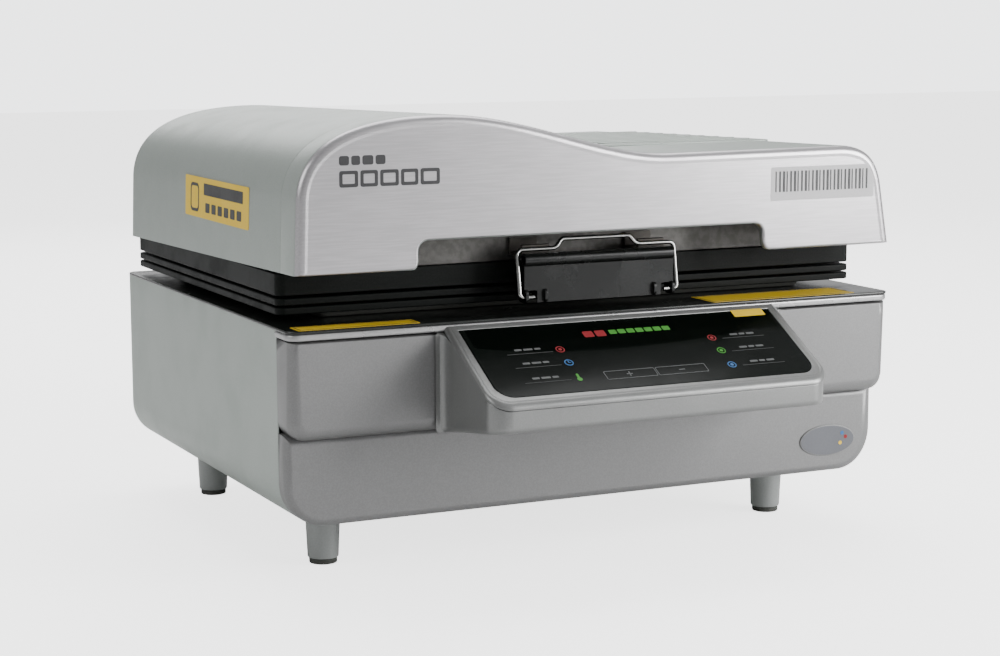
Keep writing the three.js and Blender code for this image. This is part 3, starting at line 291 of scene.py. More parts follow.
class Shell:
    """Rings of points in the frame, bridged into a surface."""

    def __init__(self) -> None:
        """Starts with nothing."""
        self.mesh = bmesh.new()

    def ring(self, points: Iterable[Vector]) -> list[bmesh.types.BMVert]:
        """Adds a ring of points."""
        return [self.mesh.verts.new(point) for point in points]

    def bridge(self, first: list, second: list, closed: bool = True) -> None:
        """Joins two rings of equal length with four-sided faces."""
        count = len(first)
        for i in range(count if closed else count - 1):
            j = (i + 1) % count
            self.mesh.faces.new((first[i], first[j], second[j], second[i]))

    def fill(self, ring: list) -> None:
        """Closes a ring with one face."""
        self.mesh.faces.new(ring)

    def loft(self, rings: Sequence[Iterable[Vector]], closed: bool = True, ends: bool = False) -> "Shell":
        """Bridges rings one after another.

        Args:
            rings: The rings' points.
            closed: Whether each ring closes on itself.
            ends: Whether the first and last rings are filled.

        Returns:
            The shell itself.
        """
        made = [self.ring(points) for points in rings]
        for first, second in zip(made, made[1:]):
            self.bridge(first, second, closed)
        if ends:
            self.fill(made[0])
            self.fill(made[-1])
        return self

    def piece(self, name: str) -> Piece:
        """The finished surface as an object."""
        return from_bmesh(name, self.mesh)


def new_curve(name: str, lines: Iterable[Sequence], closed: bool) -> bpy.types.Curve:
    """A curve with a straight-sided spline along each line of three-part points; closed ones are flat."""
    curve = bpy.data.curves.new(name, "CURVE")
    curve.dimensions = "2D" if closed else "3D"
    for line in lines:
        spline = curve.splines.new("POLY")
        spline.points.add(len(line) - 1)
        for point, place in zip(spline.points, line):
            point.co = (*place, 1)
        spline.use_cyclic_u = closed
    return curve


def from_curve(name: str, curve: bpy.types.Curve, matrix: Matrix) -> Piece:
    """Makes a welded object of a curve, moved by a matrix, and drops the curve."""
    carrier = make_object(name, curve)
    mesh = bpy.data.meshes.new_from_object(carrier.evaluated_get(bpy.context.evaluated_depsgraph_get()))
    bpy.data.objects.remove(carrier)
    bpy.data.curves.remove(curve)
    mesh.transform(matrix)
    shell = bmesh.new()
    shell.from_mesh(mesh)
    bpy.data.meshes.remove(mesh)
    return from_bmesh(name, shell)


def plate(
    name: str,
    loops: Sequence[Loop],
    w0: float,
    w1: float,
    edge: float = 0.0,
    plane: Plane | Matrix = Plane.UP,
) -> Piece:
    """A flat piece with holes and rounded edges.

    Args:
        name: The piece's name.
        loops: Its outline, then its holes.
        w0: Where its thickness starts.
        w1: Where its thickness ends.
        edge: Radius of its edges.
        plane: The plane that the outline lies in, or a matrix from mm to the frame.

    Returns:
        The object.
    """
    curve = new_curve(name, [[(*point, 0) for point in loop] for loop in loops], closed=True)
    curve.fill_mode = "BOTH"
    curve.extrude = (w1 - w0) / 2 - edge
    curve.bevel_depth = edge
    curve.offset = -edge
    curve.bevel_resolution = 2
    matrix = plane.matrix if isinstance(plane, Plane) else plane
    return from_curve(name, curve, matrix @ Matrix.Translation((0, 0, (w0 + w1) / 2)))


def joined(name: str, *pieces: Piece) -> Piece:
    """Several closed pieces as one object."""
    shell = bmesh.new()
    for piece in pieces:
        shell.from_mesh(piece.data)
        mesh = piece.data
        bpy.data.objects.remove(piece)
        bpy.data.meshes.remove(mesh)
    return from_bmesh(name, shell)


def turned(name: str, profile: Loop, foot: Vector, along: Vector, sides: int = 48) -> Piece:
    """A turned piece.

    Args:
        name: The piece's name.
        profile: Pairs of radius and height, from one end of the axis to the other.
        foot: Where height 0 lies, in metres.
        along: Direction of the axis.
        sides: Number of sides.

    Returns:
        The object.
    """
    turn = along.to_track_quat("Z", "Y").to_matrix()
    rings = []
    for radius, height in profile:
        angles = (2 * math.pi * i / sides for i in range(sides))
        local = (Vector((radius * math.cos(a), radius * math.sin(a), height)) for a in angles)
        rings.append([foot + turn @ point * MM for point in local])
    return Shell().loft(rings, ends=True).piece(name)


def rod(name: str, points: Sequence[Vector], radius: float, sides: int = 4) -> Piece:
    """A round rod along a line of points in metres; its radius is in mm."""
    curve = new_curve(name, [points], closed=False)
    curve.bevel_depth = radius * MM
    curve.bevel_resolution = sides
    curve.use_fill_caps = True
    return from_curve(name, curve, Matrix())


def moulding(name: str, outline: Outline, place: Placer, wall: float, rim: Sequence[Point] = ()) -> Piece:
    """A hollow cover: a flat face, a rounded edge and a return behind it.

    Args:
        name: The piece's name.
        outline: The cover's outline, with its edge radii and return depths.
        place: Takes outline coordinates and a depth to a place in the frame.
        wall: Wall thickness.
        rim: Pairs of inset beyond the rounding and depth, from the face outwards.

    Returns:
        The object.
    """
    radii, count = outline.roundings, len(outline.points)
    corner = [max(radii[i - 1], radii[i]) for i in range(count)]
    back = [max(outline.depths[i - 1], outline.depths[i]) for i in range(count)]
    rings = []
    for beyond, depth in rim:
        loop = inset(outline.points, [r + beyond * (r > 4) for r in radii])
        rings.append([place(u, v, depth) for u, v in loop])
    for turn in quarter_turn(EDGE_STEPS):
        loop = inset(outline.points, [r * (1 - math.sin(turn)) for r in radii])
        rings.append([place(*p, r * (1 - math.cos(turn))) for p, r in zip(loop, corner)])
    rings.append([place(*p, d) for p, d in zip(outline.points, back)])
    shell = Shell().loft(rings)
    shell.mesh.verts.ensure_lookup_table()
    shell.fill(shell.mesh.verts[:count])
    piece = shell.piece(name)
    thicken(piece, wall)
    return piece


def thicken(piece: Piece, wall: float, side: int = -1) -> None:
    """Gives a surface a wall on its inner side, or on its outer side if side is 1."""
    solid = piece.modifiers.new("wall", "SOLIDIFY")
    solid.thickness = wall * MM
    solid.offset = side
    solid.use_even_offset = False


def sheet_cover(name: str, points: Loop, place: Placer, gap: float, bays: int) -> Piece:
    """A folded sheet from the front seam to the back, with both ends turned in.

    Args:
        name: The piece's name.
        points: Its outline; the closing edge stays open.
        place: Takes outline coordinates and a depth to a place in the frame.
        gap: Distance from the seam to its front end.
        bays: Number of bays along its length.

    Returns:
        The object.
    """
    stages = [(0.9, SEAM + gap), (0.25, SEAM + gap + 0.3), (0.0, SEAM + gap + 1)]
    stages += [(0.0, BACK * k / bays) for k in range(1, bays)]
    stages += [(0.0, BACK - 3), (0.9, BACK - 0.9), (3.0, BACK)]
    rings = [[place(*point, depth) for point in shrink(points, amount)] for amount, depth in stages]
    cover = Shell().loft(rings, closed=False).piece(name)
    thicken(cover, SHEET_WALL)
    return cover


def cut_out(piece: Piece, *tools: Piece) -> None:
    """Cuts tools out of a piece for good."""
    for tool in tools:
        cut = piece.modifiers.new("cut", "BOOLEAN")
        cut.object = tool
        cut.solver = "EXACT"
    ready = piece.evaluated_get(bpy.context.evaluated_depsgraph_get())
    mesh = bpy.data.meshes.new_from_object(ready)
    old = piece.data
    piece.modifiers.clear()
    piece.data = mesh
    bpy.data.meshes.remove(old)
    for tool in tools:
        bpy.data.objects.remove(tool)


def smooth(piece: Piece, crisp: float = 32.0) -> None:
    """Smooth shading that keeps corners sharper than an angle in degrees."""
    piece.data.shade_smooth()
    piece.data.set_sharp_from_angle(angle=math.radians(crisp))
    weighted = piece.modifiers.new("flat faces stay flat", "WEIGHTED_NORMAL")
    weighted.keep_sharp = True
    weighted.weight = 80


# ---------------------------------------------------------------- shader groups
class Wiring:
    """Short hand for building one node tree."""

    def __init__(self, tree: bpy.types.NodeTree) -> None:
        """Takes the tree to build in."""
        self.tree = tree

    def node(self, kind: str, **settings: object) -> bpy.types.Node:
        """Adds a node; settings are its properties, or its input values by socket name."""
        node = self.tree.nodes.new(kind)
        for key, value in settings.items():
            if key in node.bl_rna.properties:
                setattr(node, key, value)
            else:
                node.inputs[key.replace("_", " ")].default_value = value
        return node

    def group(self, tree: bpy.types.NodeTree, **values: float) -> bpy.types.Node:
        """Adds a shader group and sets its inputs."""
        node = self.node("ShaderNodeGroup", node_tree=tree)
        for key, value in values.items():
            node.inputs[key].default_value = value
        return node

    def link(self, source: Socket, target: Socket) -> None:
        """Links two sockets."""
        self.tree.links.new(source, target)

    def feed(self, socket: Socket, value: object) -> None:
        """Links a socket to another one, or sets its value."""
        if isinstance(value, Socket):
            self.link(value, socket)
        else:
            socket.default_value = value

    def math(self, operation: str, first: object, second: object = 0.0, clamp: bool = False) -> Socket:
        """A sum on sockets or numbers.

        Args:
            operation: Name of the operation.
            first: First socket or number.
            second: Second socket or number.
            clamp: Whether the result stays from 0 to 1.

        Returns:
            The result's socket.
        """
        node = self.node("ShaderNodeMath", operation=operation, use_clamp=clamp)
        self.feed(node.inputs[0], first)
        self.feed(node.inputs[1], second)
        return node.outputs[0]

    def noise(self, place: Socket, scale: object, detail: float = 3.0) -> Socket:
        """A noise value at a place."""
        node = self.node("ShaderNodeTexNoise", Detail=detail, Roughness=0.6)
        self.link(place, node.inputs["Vector"])
        self.feed(node.inputs["Scale"], scale)
        return node.outputs["Fac"]

    def spread(self, value: Socket, start: float, end: float) -> Socket:
        """Maps a value from start..end to 0..1, smoothly."""
        settings = {"interpolation_type": "SMOOTHSTEP", "From_Min": start, "From_Max": end}
        node = self.node("ShaderNodeMapRange", **settings)
        self.link(value, node.inputs["Value"])
        return node.outputs["Result"]

    def mix(self, mask: object, first: object, second: object) -> Socket:
        """Mixes two colours by a mask."""
        node = self.node("ShaderNodeMix", data_type="RGBA")
        for i, value in ((0, mask), (6, first), (7, second)):
            self.feed(node.inputs[i], value)
        return node.outputs[2]


def new_group(name: str, inputs: dict[str, float], outputs: Sequence[str]) -> tuple[Wiring, dict, dict]:
    """Starts a shader group.

    Args:
        name: The group's name.
        inputs: Its numbers and their usual values.
        outputs: Its values.

    Returns:
        The wiring, the input sockets and the output sockets, by name.
    """
    tree = bpy.data.node_groups.new(name, "ShaderNodeTree")
    for key, value in inputs.items():
        tree.interface.new_socket(key, in_out="INPUT", socket_type="NodeSocketFloat").default_value = value
    for key in outputs:
        tree.interface.new_socket(key, in_out="OUTPUT", socket_type="NodeSocketFloat")
    wiring = Wiring(tree)
    entry = wiring.node("NodeGroupInput")
    leave = wiring.node("NodeGroupOutput")
    return wiring, {k: entry.outputs[k] for k in inputs}, {k: leave.inputs[k] for k in outputs}


@cache
def grain_group() -> bpy.types.NodeTree:
    """Grain of a surface: height for the bump, and specks for the colour."""
    usual = {"Grain": 900.0, "Stretch": 1.0, "Blotch": 9.0}
    wiring, given, result = new_group("surface_grain", usual, ("Height", "Speck", "Cloud"))
    place = wiring.node("ShaderNodeTexCoord").outputs["Object"]
    squeeze = wiring.node("ShaderNodeCombineXYZ", Y=1.0, Z=1.0)
    wiring.link(wiring.math("DIVIDE", 1.0, given["Stretch"]), squeeze.inputs["X"])
    scaled = wiring.node("ShaderNodeVectorMath", operation="MULTIPLY")
    wiring.link(place, scaled.inputs[0])
    wiring.link(squeeze.outputs[0], scaled.inputs[1])
    height = wiring.noise(scaled.outputs[0], given["Grain"], 4.0)
    speck = wiring.noise(scaled.outputs[0], wiring.math("MULTIPLY", given["Grain"], 0.55), 2.0)
    wiring.link(height, result["Height"])
    wiring.link(wiring.spread(speck, 0.35, 0.68), result["Speck"])
    wiring.link(wiring.spread(wiring.noise(place, given["Blotch"], 3.0), 0.3, 0.7), result["Cloud"])
    return wiring.tree


@cache
def dust_group() -> bpy.types.NodeTree:
    """Dust that lies on upward faces, and hand smudges all over."""
    wiring, given, result = new_group("dust_and_smudge", {"Amount": 0.2, "Smudge": 0.2}, ("Dust", "Smear"))
    coordinates = wiring.node("ShaderNodeTexCoord")
    split = wiring.node("ShaderNodeSeparateXYZ")
    wiring.link(coordinates.outputs["Normal"], split.inputs[0])
    level = wiring.spread(split.outputs["Z"], 0.5, 1.0)
    fine = wiring.spread(wiring.noise(coordinates.outputs["Object"], 260.0, 6.0), 0.35, 0.75)
    broad = wiring.spread(wiring.noise(coordinates.outputs["Object"], 11.0, 2.0), 0.3, 0.75)
    lying = wiring.math("MULTIPLY", level, wiring.math("MULTIPLY", fine, broad))
    wiring.link(wiring.math("MULTIPLY", lying, given["Amount"], clamp=True), result["Dust"])
    smear = wiring.spread(wiring.noise(coordinates.outputs["Object"], 24.0, 5.0), 0.4, 0.72)
    wiring.link(wiring.math("MULTIPLY", smear, given["Smudge"]), result["Smear"])
    return wiring.tree


@cache
def wear_group() -> bpy.types.NodeTree:
    """Rubbed edges, broken up by noise."""
    wiring, given, result = new_group("rubbed_edges", {"Radius": 0.0008, "Amount": 0.3}, ("Rubbed",))
    bevel = wiring.node("ShaderNodeBevel", samples=4)
    wiring.link(given["Radius"], bevel.inputs["Radius"])
    dot = wiring.node("ShaderNodeVectorMath", operation="DOT_PRODUCT")
    wiring.link(bevel.outputs[0], dot.inputs[0])
    wiring.link(wiring.node("ShaderNodeNewGeometry").outputs["Normal"], dot.inputs[1])
    edge = wiring.spread(wiring.math("SUBTRACT", 1.0, dot.outputs["Value"]), 0.03, 0.25)
    place = wiring.node("ShaderNodeTexCoord").outputs["Object"]
    broken = wiring.spread(wiring.noise(place, 90.0, 5.0), 0.35, 0.65)
    rubbed = wiring.math("MULTIPLY", edge, wiring.math("MULTIPLY", broken, given["Amount"]), clamp=True)
    wiring.link(rubbed, result["Rubbed"])
    return wiring.tree


# ---------------------------------------------------------------- finishes
@dataclass(frozen=True)
class Finish:
    """A material: its colour, gloss, grain and use marks.

    Attributes:
        name: The material's name.
        slot: The record's material slot; not used.
        color: Base colour, linear.
        rough: Roughness.
        metal: Metallic value.
        coat: Coat weight.
        grain: Grain size as features per metre.
        stretch: How far the grain is drawn out along x.
        depth: Bump strength of the grain.
        speck: How far specks change the colour.
        cloud: How far broad clouds change the colour.
        dust: Amount of dust on upward faces.
        smear: Change of roughness by smudges.
        rubbed: Amount of edge wear.
        rubbed_to: Colour under the wear.
        glow: Emission strength, which paints a faint glow on parts that are no lamps.
        shine: Specular level.
    """

    name: str
    slot: str
    color: Color
    rough: float
    metal: float = 0.0
    coat: float = 0.0
    grain: float = 900.0
    stretch: float = 1.0
    depth: float = 0.12
    speck: float = 0.08
    cloud: float = 0.06
    dust: float = 0.1
    smear: float = 0.1
    rubbed: float = 0.0
    rubbed_to: Color = (0.6, 0.6, 0.6)
    glow: float = 0.0
    shine: float = 0.5

    def material(self) -> bpy.types.Material:
        """The material, built the first time it is asked for."""
        found = bpy.data.materials.get(f"{self.name}_finish")
        return found or self.build()

    def build(self) -> bpy.types.Material:
        """Builds the node tree.

        Returns:
            The material.
        """
        material = bpy.data.materials.new(f"{self.name}_finish")
        material.use_nodes = True
        material.node_tree.nodes.clear()
        wiring = Wiring(material.node_tree)
        shader = wiring.node("ShaderNodeBsdfPrincipled")
        wiring.link(shader.outputs[0], wiring.node("ShaderNodeOutputMaterial").inputs["Surface"])
        grain = wiring.group(grain_group(), Grain=self.grain, Stretch=self.stretch)
        dust = wiring.group(dust_group(), Amount=self.dust, Smudge=self.smear)
        specks = wiring.math("MULTIPLY", grain.outputs["Speck"], self.speck)
        color = wiring.mix(specks, (*self.color, 1), (*(min(c * 1.6 + 0.05, 1) for c in self.color), 1))
        clouds = wiring.math("MULTIPLY", grain.outputs["Cloud"], self.cloud)
        color = wiring.mix(clouds, color, (*(c * 0.55 for c in self.color), 1))
        color = wiring.mix(dust.outputs["Dust"], color, (0.5, 0.48, 0.45, 1))
        if self.rubbed:
            wear = wiring.group(wear_group(), Amount=self.rubbed)
            color = wiring.mix(wear.outputs["Rubbed"], color, (*self.rubbed_to, 1))
        wiring.link(color, shader.inputs["Base Color"])
        rough = wiring.math("ADD", dust.outputs["Smear"], self.rough)
        rough = wiring.math("ADD", rough, wiring.math("MULTIPLY", dust.outputs["Dust"], 0.3), clamp=True)
        wiring.link(rough, shader.inputs["Roughness"])
        bump = wiring.node("ShaderNodeBump", Strength=self.depth, Distance=0.0004)
        wiring.link(grain.outputs["Height"], bump.inputs["Height"])
        wiring.link(bump.outputs[0], shader.inputs["Normal"])
        shader.inputs["Metallic"].default_value = self.metal
        shader.inputs["Coat Weight"].default_value = self.coat
        shader.inputs["Coat Roughness"].default_value = 0.06
        shader.inputs["Specular IOR Level"].default_value = self.shine
        # Painted glow: the colour is also fed to emission.
        if self.glow:
            wiring.link(color, shader.inputs["Emission Color"])
            shader.inputs["Emission Strength"].default_value = self.glow
        return material


SILVER = Finish("silver_paint", "silver_paint", (0.31, 0.345, 0.32), 0.38, 0.35, grain=1500, speck=0.16,
                dust=0.08, smear=0.08, rubbed=0.25)
FASCIA = Finish("fascia_paint", "silver_paint", (0.19, 0.19, 0.19), 0.38, 0.5, grain=1500, speck=0.14,
                smear=0.08, rubbed=0.15)
STRIP = Finish("strip_silver", "silver_paint", (0.36, 0.36, 0.36), 0.26, 0.7, grain=1200, smear=0.06)
FRONT = Finish("front_silver", "front_silver", (0.46, 0.447, 0.46), 0.31, 0.88, grain=1100, stretch=22.0,
               depth=0.035, speck=0.2, dust=0.04, smear=0.02)
DECK = Finish("deck_black", "deck_black", (0.007, 0.0085, 0.0075), 0.12, grain=700, depth=0.05,
              dust=0.04, smear=0.16, rubbed=0.12)
LATCH_BLACK = Finish("latch_black", "deck_black", (0.0028, 0.0034, 0.003), 0.24, shine=0.32,
                     dust=0.02, rubbed=0.04)
BAND = Finish("band_black", "band_black", (0.0024, 0.0036, 0.0028), 0.42, shine=0.1, grain=1300, speck=0.06,
              dust=0.02, rubbed=0.03)
GLASS = Finish("control_glass", "control_glass", (0.004, 0.0055, 0.0045), 0.14, depth=0.0, shine=0.07,
               speck=0.02, dust=0.0, smear=0.07)
BEZEL = Finish("bezel_grey", "bezel_grey", (0.21, 0.213, 0.21), 0.3, 0.55, grain=1400, speck=0.12,
               smear=0.08, rubbed=0.15)
FOOT = Finish("foot_grey", "foot_grey", (0.27, 0.28, 0.275), 0.42, 0.3, grain=1000, depth=0.2)
RUBBER = Finish("dark_rubber", "dark_rubber", (0.05, 0.052, 0.046), 0.8, grain=1600, depth=0.3, dust=0.3)
SILICONE = Finish("silicone_sheet", "silicone_sheet", (0.42, 0.10, 0.035), 0.5, grain=1500, depth=0.25,
                  cloud=0.2, smear=0.15)
BRIGHT = Finish("bright_steel", "bright_steel", (0.36, 0.36, 0.35), 0.18, 1.0, grain=600, depth=0.03,
                dust=0.03, smear=0.1)
BARE = Finish("bare_steel", "bare_steel", (0.42, 0.41, 0.40), 0.3, 1.0, grain=900, stretch=14, cloud=0.25)
ALUMINIUM = Finish("plain_aluminium", "plain_aluminium", (0.5, 0.51, 0.52), 0.36, 0.9, grain=1000,
                   stretch=9, cloud=0.2, smear=0.14)
ZINC = Finish("zinc_sheet", "zinc_sheet", (0.17, 0.17, 0.165), 0.42, 0.8, grain=160, speck=0.35, cloud=0.3)
BRONZE = Finish("keeper_bronze", "keeper_bronze", (0.05, 0.045, 0.04), 0.36, 0.7, cloud=0.25, rubbed=0.4,
                rubbed_to=(0.3, 0.28, 0.25))
PLASTIC = Finish("black_plastic", "black_plastic", (0.012, 0.013, 0.014), 0.48, grain=1800, depth=0.35)
CASING = Finish("casing_grey", "zinc_sheet", (0.085, 0.082, 0.077), 0.38, 0.7, grain=260, speck=0.3,
                cloud=0.3)
WOOL = Finish("insulation_wool", "insulation_wool", (0.62, 0.57, 0.48), 0.95, grain=420, stretch=3,
              depth=1.0, speck=0.4, cloud=0.3)
BOARD = Finish("board_green", "board_green", (0.015, 0.12, 0.05), 0.35, coat=0.3, grain=500, speck=0.3)
MOTOR = Finish("motor_black", "motor_black", (0.018, 0.019, 0.02), 0.5, 0.3, grain=700, depth=0.3)
LABEL = Finish("label_yellow", "silver_paint", (0.76, 0.5, 0.012), 0.42, grain=1500, cloud=0.12)
BADGE = Finish("badge_field", "silver_paint", (0.13, 0.135, 0.15), 0.3, 0.3, grain=900, cloud=0.5)
LABEL_PALE = Finish("label_pale", "front_silver", (0.5, 0.49, 0.5), 0.4, grain=1500, cloud=0.06)
INK_DARK = Finish("ink_dark", "front_silver", (0.02, 0.02, 0.022), 0.4, cloud=0.2)
INK_GREY = Finish("ink_grey", "control_glass", (0.10, 0.105, 0.105), 0.4, cloud=0.1, shine=0.2)
INK_DIM = Finish("ink_dim", "control_glass", (0.045, 0.047, 0.047), 0.4, cloud=0.1, shine=0.2)
# These three inks print their colour and also glow faintly: painted light, since the printed marks and badge
# dots are no lamps.
INK_RED = Finish("ink_red", "control_glass", (0.26, 0.02, 0.025), 0.4, cloud=0.1, shine=0.2, glow=0.05)
INK_GREEN = Finish("ink_green", "control_glass", (0.05, 0.24, 0.03), 0.4, cloud=0.1, shine=0.2, glow=0.05)
INK_BLUE = Finish("ink_blue", "control_glass", (0.04, 0.14, 0.34), 0.4, cloud=0.1, shine=0.2, glow=0.05)
PALE = Finish("floor_pale", "", (0.86, 0.86, 0.86), 0.7, grain=200, depth=0.02, speck=0.01, cloud=0.01,
              dust=0)
ZONE = Finish("panel_zone", "control_glass", (0.0012, 0.0022, 0.0016), 0.1, depth=0.0, speck=0.0,
              dust=0.0, smear=0.02, shine=0.08)


def dress(piece: Piece, body: str, finish: Finish, *nodes: str, crisp: float = 32.0) -> None:
    """Finishes a piece and says what it belongs to.

    Args:
        piece: The piece.
        body: The CAD body that it moves with.
        finish: Its finish.
        nodes: CAD nodes that it stands for.
        crisp: Corners sharper than this stay crisp.
    """
    piece.data.materials.clear()
    piece.data.materials.append(finish.material())
    smooth(piece, crisp)
    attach(piece, body)
    if nodes:
        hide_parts(*nodes)
    LOG.info("%s on %s, %d faces", piece.name, body, len(piece.data.polygons))


def dress_nodes(finish: Finish, edge: float, *nodes: str) -> None:
    """Finishes CAD nodes that stay in view, with edges rounded to a radius in mm."""
    crisp = 40.0
    for node in nodes:
        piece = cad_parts[node]
        piece.data.materials.clear()
        piece.data.materials.append(finish.material())
        soft = piece.modifiers.new("rounded edges", "BEVEL")
        soft.width = edge * MM
        soft.segments = 2
        soft.limit_method = "ANGLE"
        soft.angle_limit = math.radians(crisp)
        soft.harden_normals = False
        smooth(piece, crisp)
        LOG.info("%s kept from the frame", node)


# ---------------------------------------------------------------- lid
@dataclass
class Lid:
    """The hinged lid: its front moulding, sheet skin, rear sheet and labels.

    Attributes:
        crest: Height of the hump's top.
        drop: From the crest down to the flat right-hand part.
        crest_x: Where the hump is highest.
        fall: From the crest to the start of the flat part.
        rake: Fall of the lid from front to back, per mm.
        notch: Left side, right side and height of the hand opening.
        rim: Radius of the front moulding's edge.
        painted_shade_lean: Faces of the moulding that look less to the front than this get the darker,
            greener sheet paint, as painted shade.
        wall: Wall thickness of the moulding.
        print_depth: Where printed marks start, behind the lid's foremost plane.
        print_step: How far a mark on a label starts in front of that.
        body: The CAD body.
    """

    crest: float = high("lid_front_panel").z
    drop: float = 39.0
    crest_x: float = -167.0
    fall: float = 224.0
    rake: float = 10.0 / BACK
    notch: tuple[float, float, float] = (-187.0, 158.0, 25.0)
    rim: float = 7.0
    painted_shade_lean: float = 0.25
    wall: float = 2.2
    print_depth: float = 0.2
    print_step: float = 0.3
    body: str = "lid"

    def skyline(self, line: Outline) -> Outline:
        """Adds the lid's sides and top to an outline, from lower right to lower left."""
        flat, start = self.crest - self.drop, self.crest_x + self.fall
        line.line(LID_HALF - 10, flat - 34)
        line.curve((LID_HALF - 15, flat - 14), (LID_HALF - 25, flat + 1), (LID_HALF - 60, flat + 1), 20)
        line.line(start, flat - 0.5)
        line.curve((start - 67, flat - 0.5), (self.crest_x + 82, self.crest), (self.crest_x, self.crest), 36)
        handles = ((self.crest_x - 83, self.crest - 0.5), (4 - LID_HALF, self.crest - 23))
        return line.curve(*handles, (3.5 - LID_HALF, self.crest - 73), 32)

    def section(self) -> Loop:
        """The lid's cross-section behind its front moulding; the closing edge is the open bottom."""
        return self.skyline(Outline(LID_HALF, LID_EDGE)).line(1.5 - LID_HALF, LID_EDGE).close().points

    def place(self, x: float, z: float, depth: float) -> Vector:
        """A place on the raked lid; depth counts back from its front face."""
        return at(x, depth, z - depth * self.rake)

    def front_panel(self) -> None:
        """The front moulding with its hand opening."""
        left, right, rise = self.notch
        top, round_corner = LID_EDGE + rise, 9.0
        line = Outline(1.5 - LID_HALF, LID_EDGE, 2.5, SEAM)
        line.line(9.5 - LID_HALF, LID_EDGE).edge(2.5, 6.0).line(left - 6, LID_EDGE)
        line.curve((left - 2, LID_EDGE), (left, LID_EDGE + 4), (left, LID_EDGE + 9), 6)
        line.arc(left + round_corner, top - round_corner, round_corner, 180, 90)
        line.arc(right - round_corner, top - round_corner, round_corner, 90, 0)
        line.line(right, LID_EDGE + 11)
        line.curve((right, LID_EDGE + 5), (right + 3, LID_EDGE), (right + 9, LID_EDGE), 6)
        line.line(LID_HALF - 8, LID_EDGE).edge(2.5, SEAM).line(LID_HALF, LID_EDGE)
        line.edge(self.rim, SEAM)
        self.skyline(line).close()
        rim = [(3.2, 0.35), (2.6, 0.33), (0.6, 0.0)]
        panel = moulding("lid_front_moulding", line, self.place, self.wall, rim)
        dress(panel, self.body, FRONT, "lid_front_panel")
        panel.data.materials.append(SILVER.material())
        # Faces that turn away from the front get the darker, greener sheet paint: painted shade for the tone
        # these faces take from the light, not a paint of their own.
        for face in panel.data.polygons:
            face.material_index = int(abs(face.normal.y) < self.painted_shade_lean)

    def skin(self) -> None:
        """The sheet skin behind the front moulding."""
        cover = sheet_cover("lid_skin", self.section(), self.place, 0.6, 4)
        dress(cover, self.body, SILVER, "lid_cover")

    def ribbed_field(self) -> None:
        """A slightly raised field with ribs on the flat part of the top."""
        flat, x0, x1 = self.crest - self.drop, 66.0, 262.0
        tilt = basis(X, Vector((0, 1, -self.rake)), Z, at(0, 0, flat))
        raised = plate("lid_field", [rounded(x0, x1, 150, 420, 10)], -0.4, 1.6, 0.7, tilt)
        dress(raised, self.body, SILVER)
        for i, y in enumerate(range(168, 401, 29)):
            rib = plate(f"lid_rib_{i + 1}", [rounded(x0 + 12, x1 - 12, y, y + 11, 5.5)], 1.0, 2.9, 0.9, tilt)
            dress(rib, self.body, SILVER)

    def side_label(self) -> None:
        """A plain yellow label with a dark border on the left side."""
        lean = Vector((2, 0, 59)).normalized()
        side = basis(Y, lean, -X, at(1.5 - LID_HALF, 0, LID_EDGE))
        label = plate("lid_side_label", [rounded(122, 306, 28, 66, 2)], 0.0, 0.2, 0.0, side)
        dress(label, self.body, LABEL)
        loops = [rounded(138, 250, 50, 61, 1), rounded(264, 290, 33, 60, 6), rounded(267, 287, 36, 57, 4)]
        loops += [rounded(y, y + 13, 34, 43, 1.5) for y in range(142, 246, 18)]
        dress(plate("lid_side_marks", loops, 0.15, 0.25, 0.0, side), self.body, INK_DARK)

    def front_labels(self) -> None:
        """Plain marks on the front: two rows of dark blocks, and a pale label with upright lines."""
        upper = [(-259, 9), (-248, 8), (-238, 10), (-226, 9)]
        lower = [(-259, 17), (-240, 16), (-222, 17), (-203, 16), (-185, 18)]
        solid = [rounded(x, x + width, 367.5, 375.5, 2) for x, width in upper]
        hollow = [rounded(x, x + width, 349, 363, 2) for x, width in lower]
        hollow += [rounded(x + 3, x + width - 3, 352, 360, 0.8) for x, width in lower]
        lines = [rounded(x, x + 1.0 + i % 3 * 0.6, 329, 348, 0.3) for i, x in enumerate(range(171, 274, 4))]
        face, ahead = self.print_depth, self.print_depth - self.print_step
        marks = (
            ("title_row_1", solid, face, INK_DARK),
            ("title_row_2", hollow, face, INK_DARK),
            ("front_label", [rounded(166, 280, 321, 352, 1.5)], face, LABEL_PALE),
            ("front_label_lines", lines, ahead, INK_DARK),
        )
        for name, loops, start, finish in marks:
            dress(plate(name, loops, start, start + 0.45, 0.0, Plane.BACK), self.body, finish)

    def rear_panel(self) -> None:
        """The rear sheet with louvres behind the fan motor."""
        loops = [shrink(self.section(), 2.4, 0.5)]
        for i in range(5):
            z = LID_EDGE + 66 + 9 * i
            loops.append(rounded(self.crest_x - 45, self.crest_x + 45, z, z + 4, 2))
        tilt = basis(X, Z, Vector((0, 1, -self.rake)), at(0, 0, 0))
        sheet = plate("lid_rear_sheet", loops, BACK - 4, BACK - 2, 0.4, tilt)
        dress(sheet, self.body, SILVER, "lid_rear_panel")

    def build(self) -> None:
        """Makes every piece of the lid."""
        self.front_panel()
        self.skin()
        self.ribbed_field()
        self.side_label()
        self.front_labels()
        self.rear_panel()


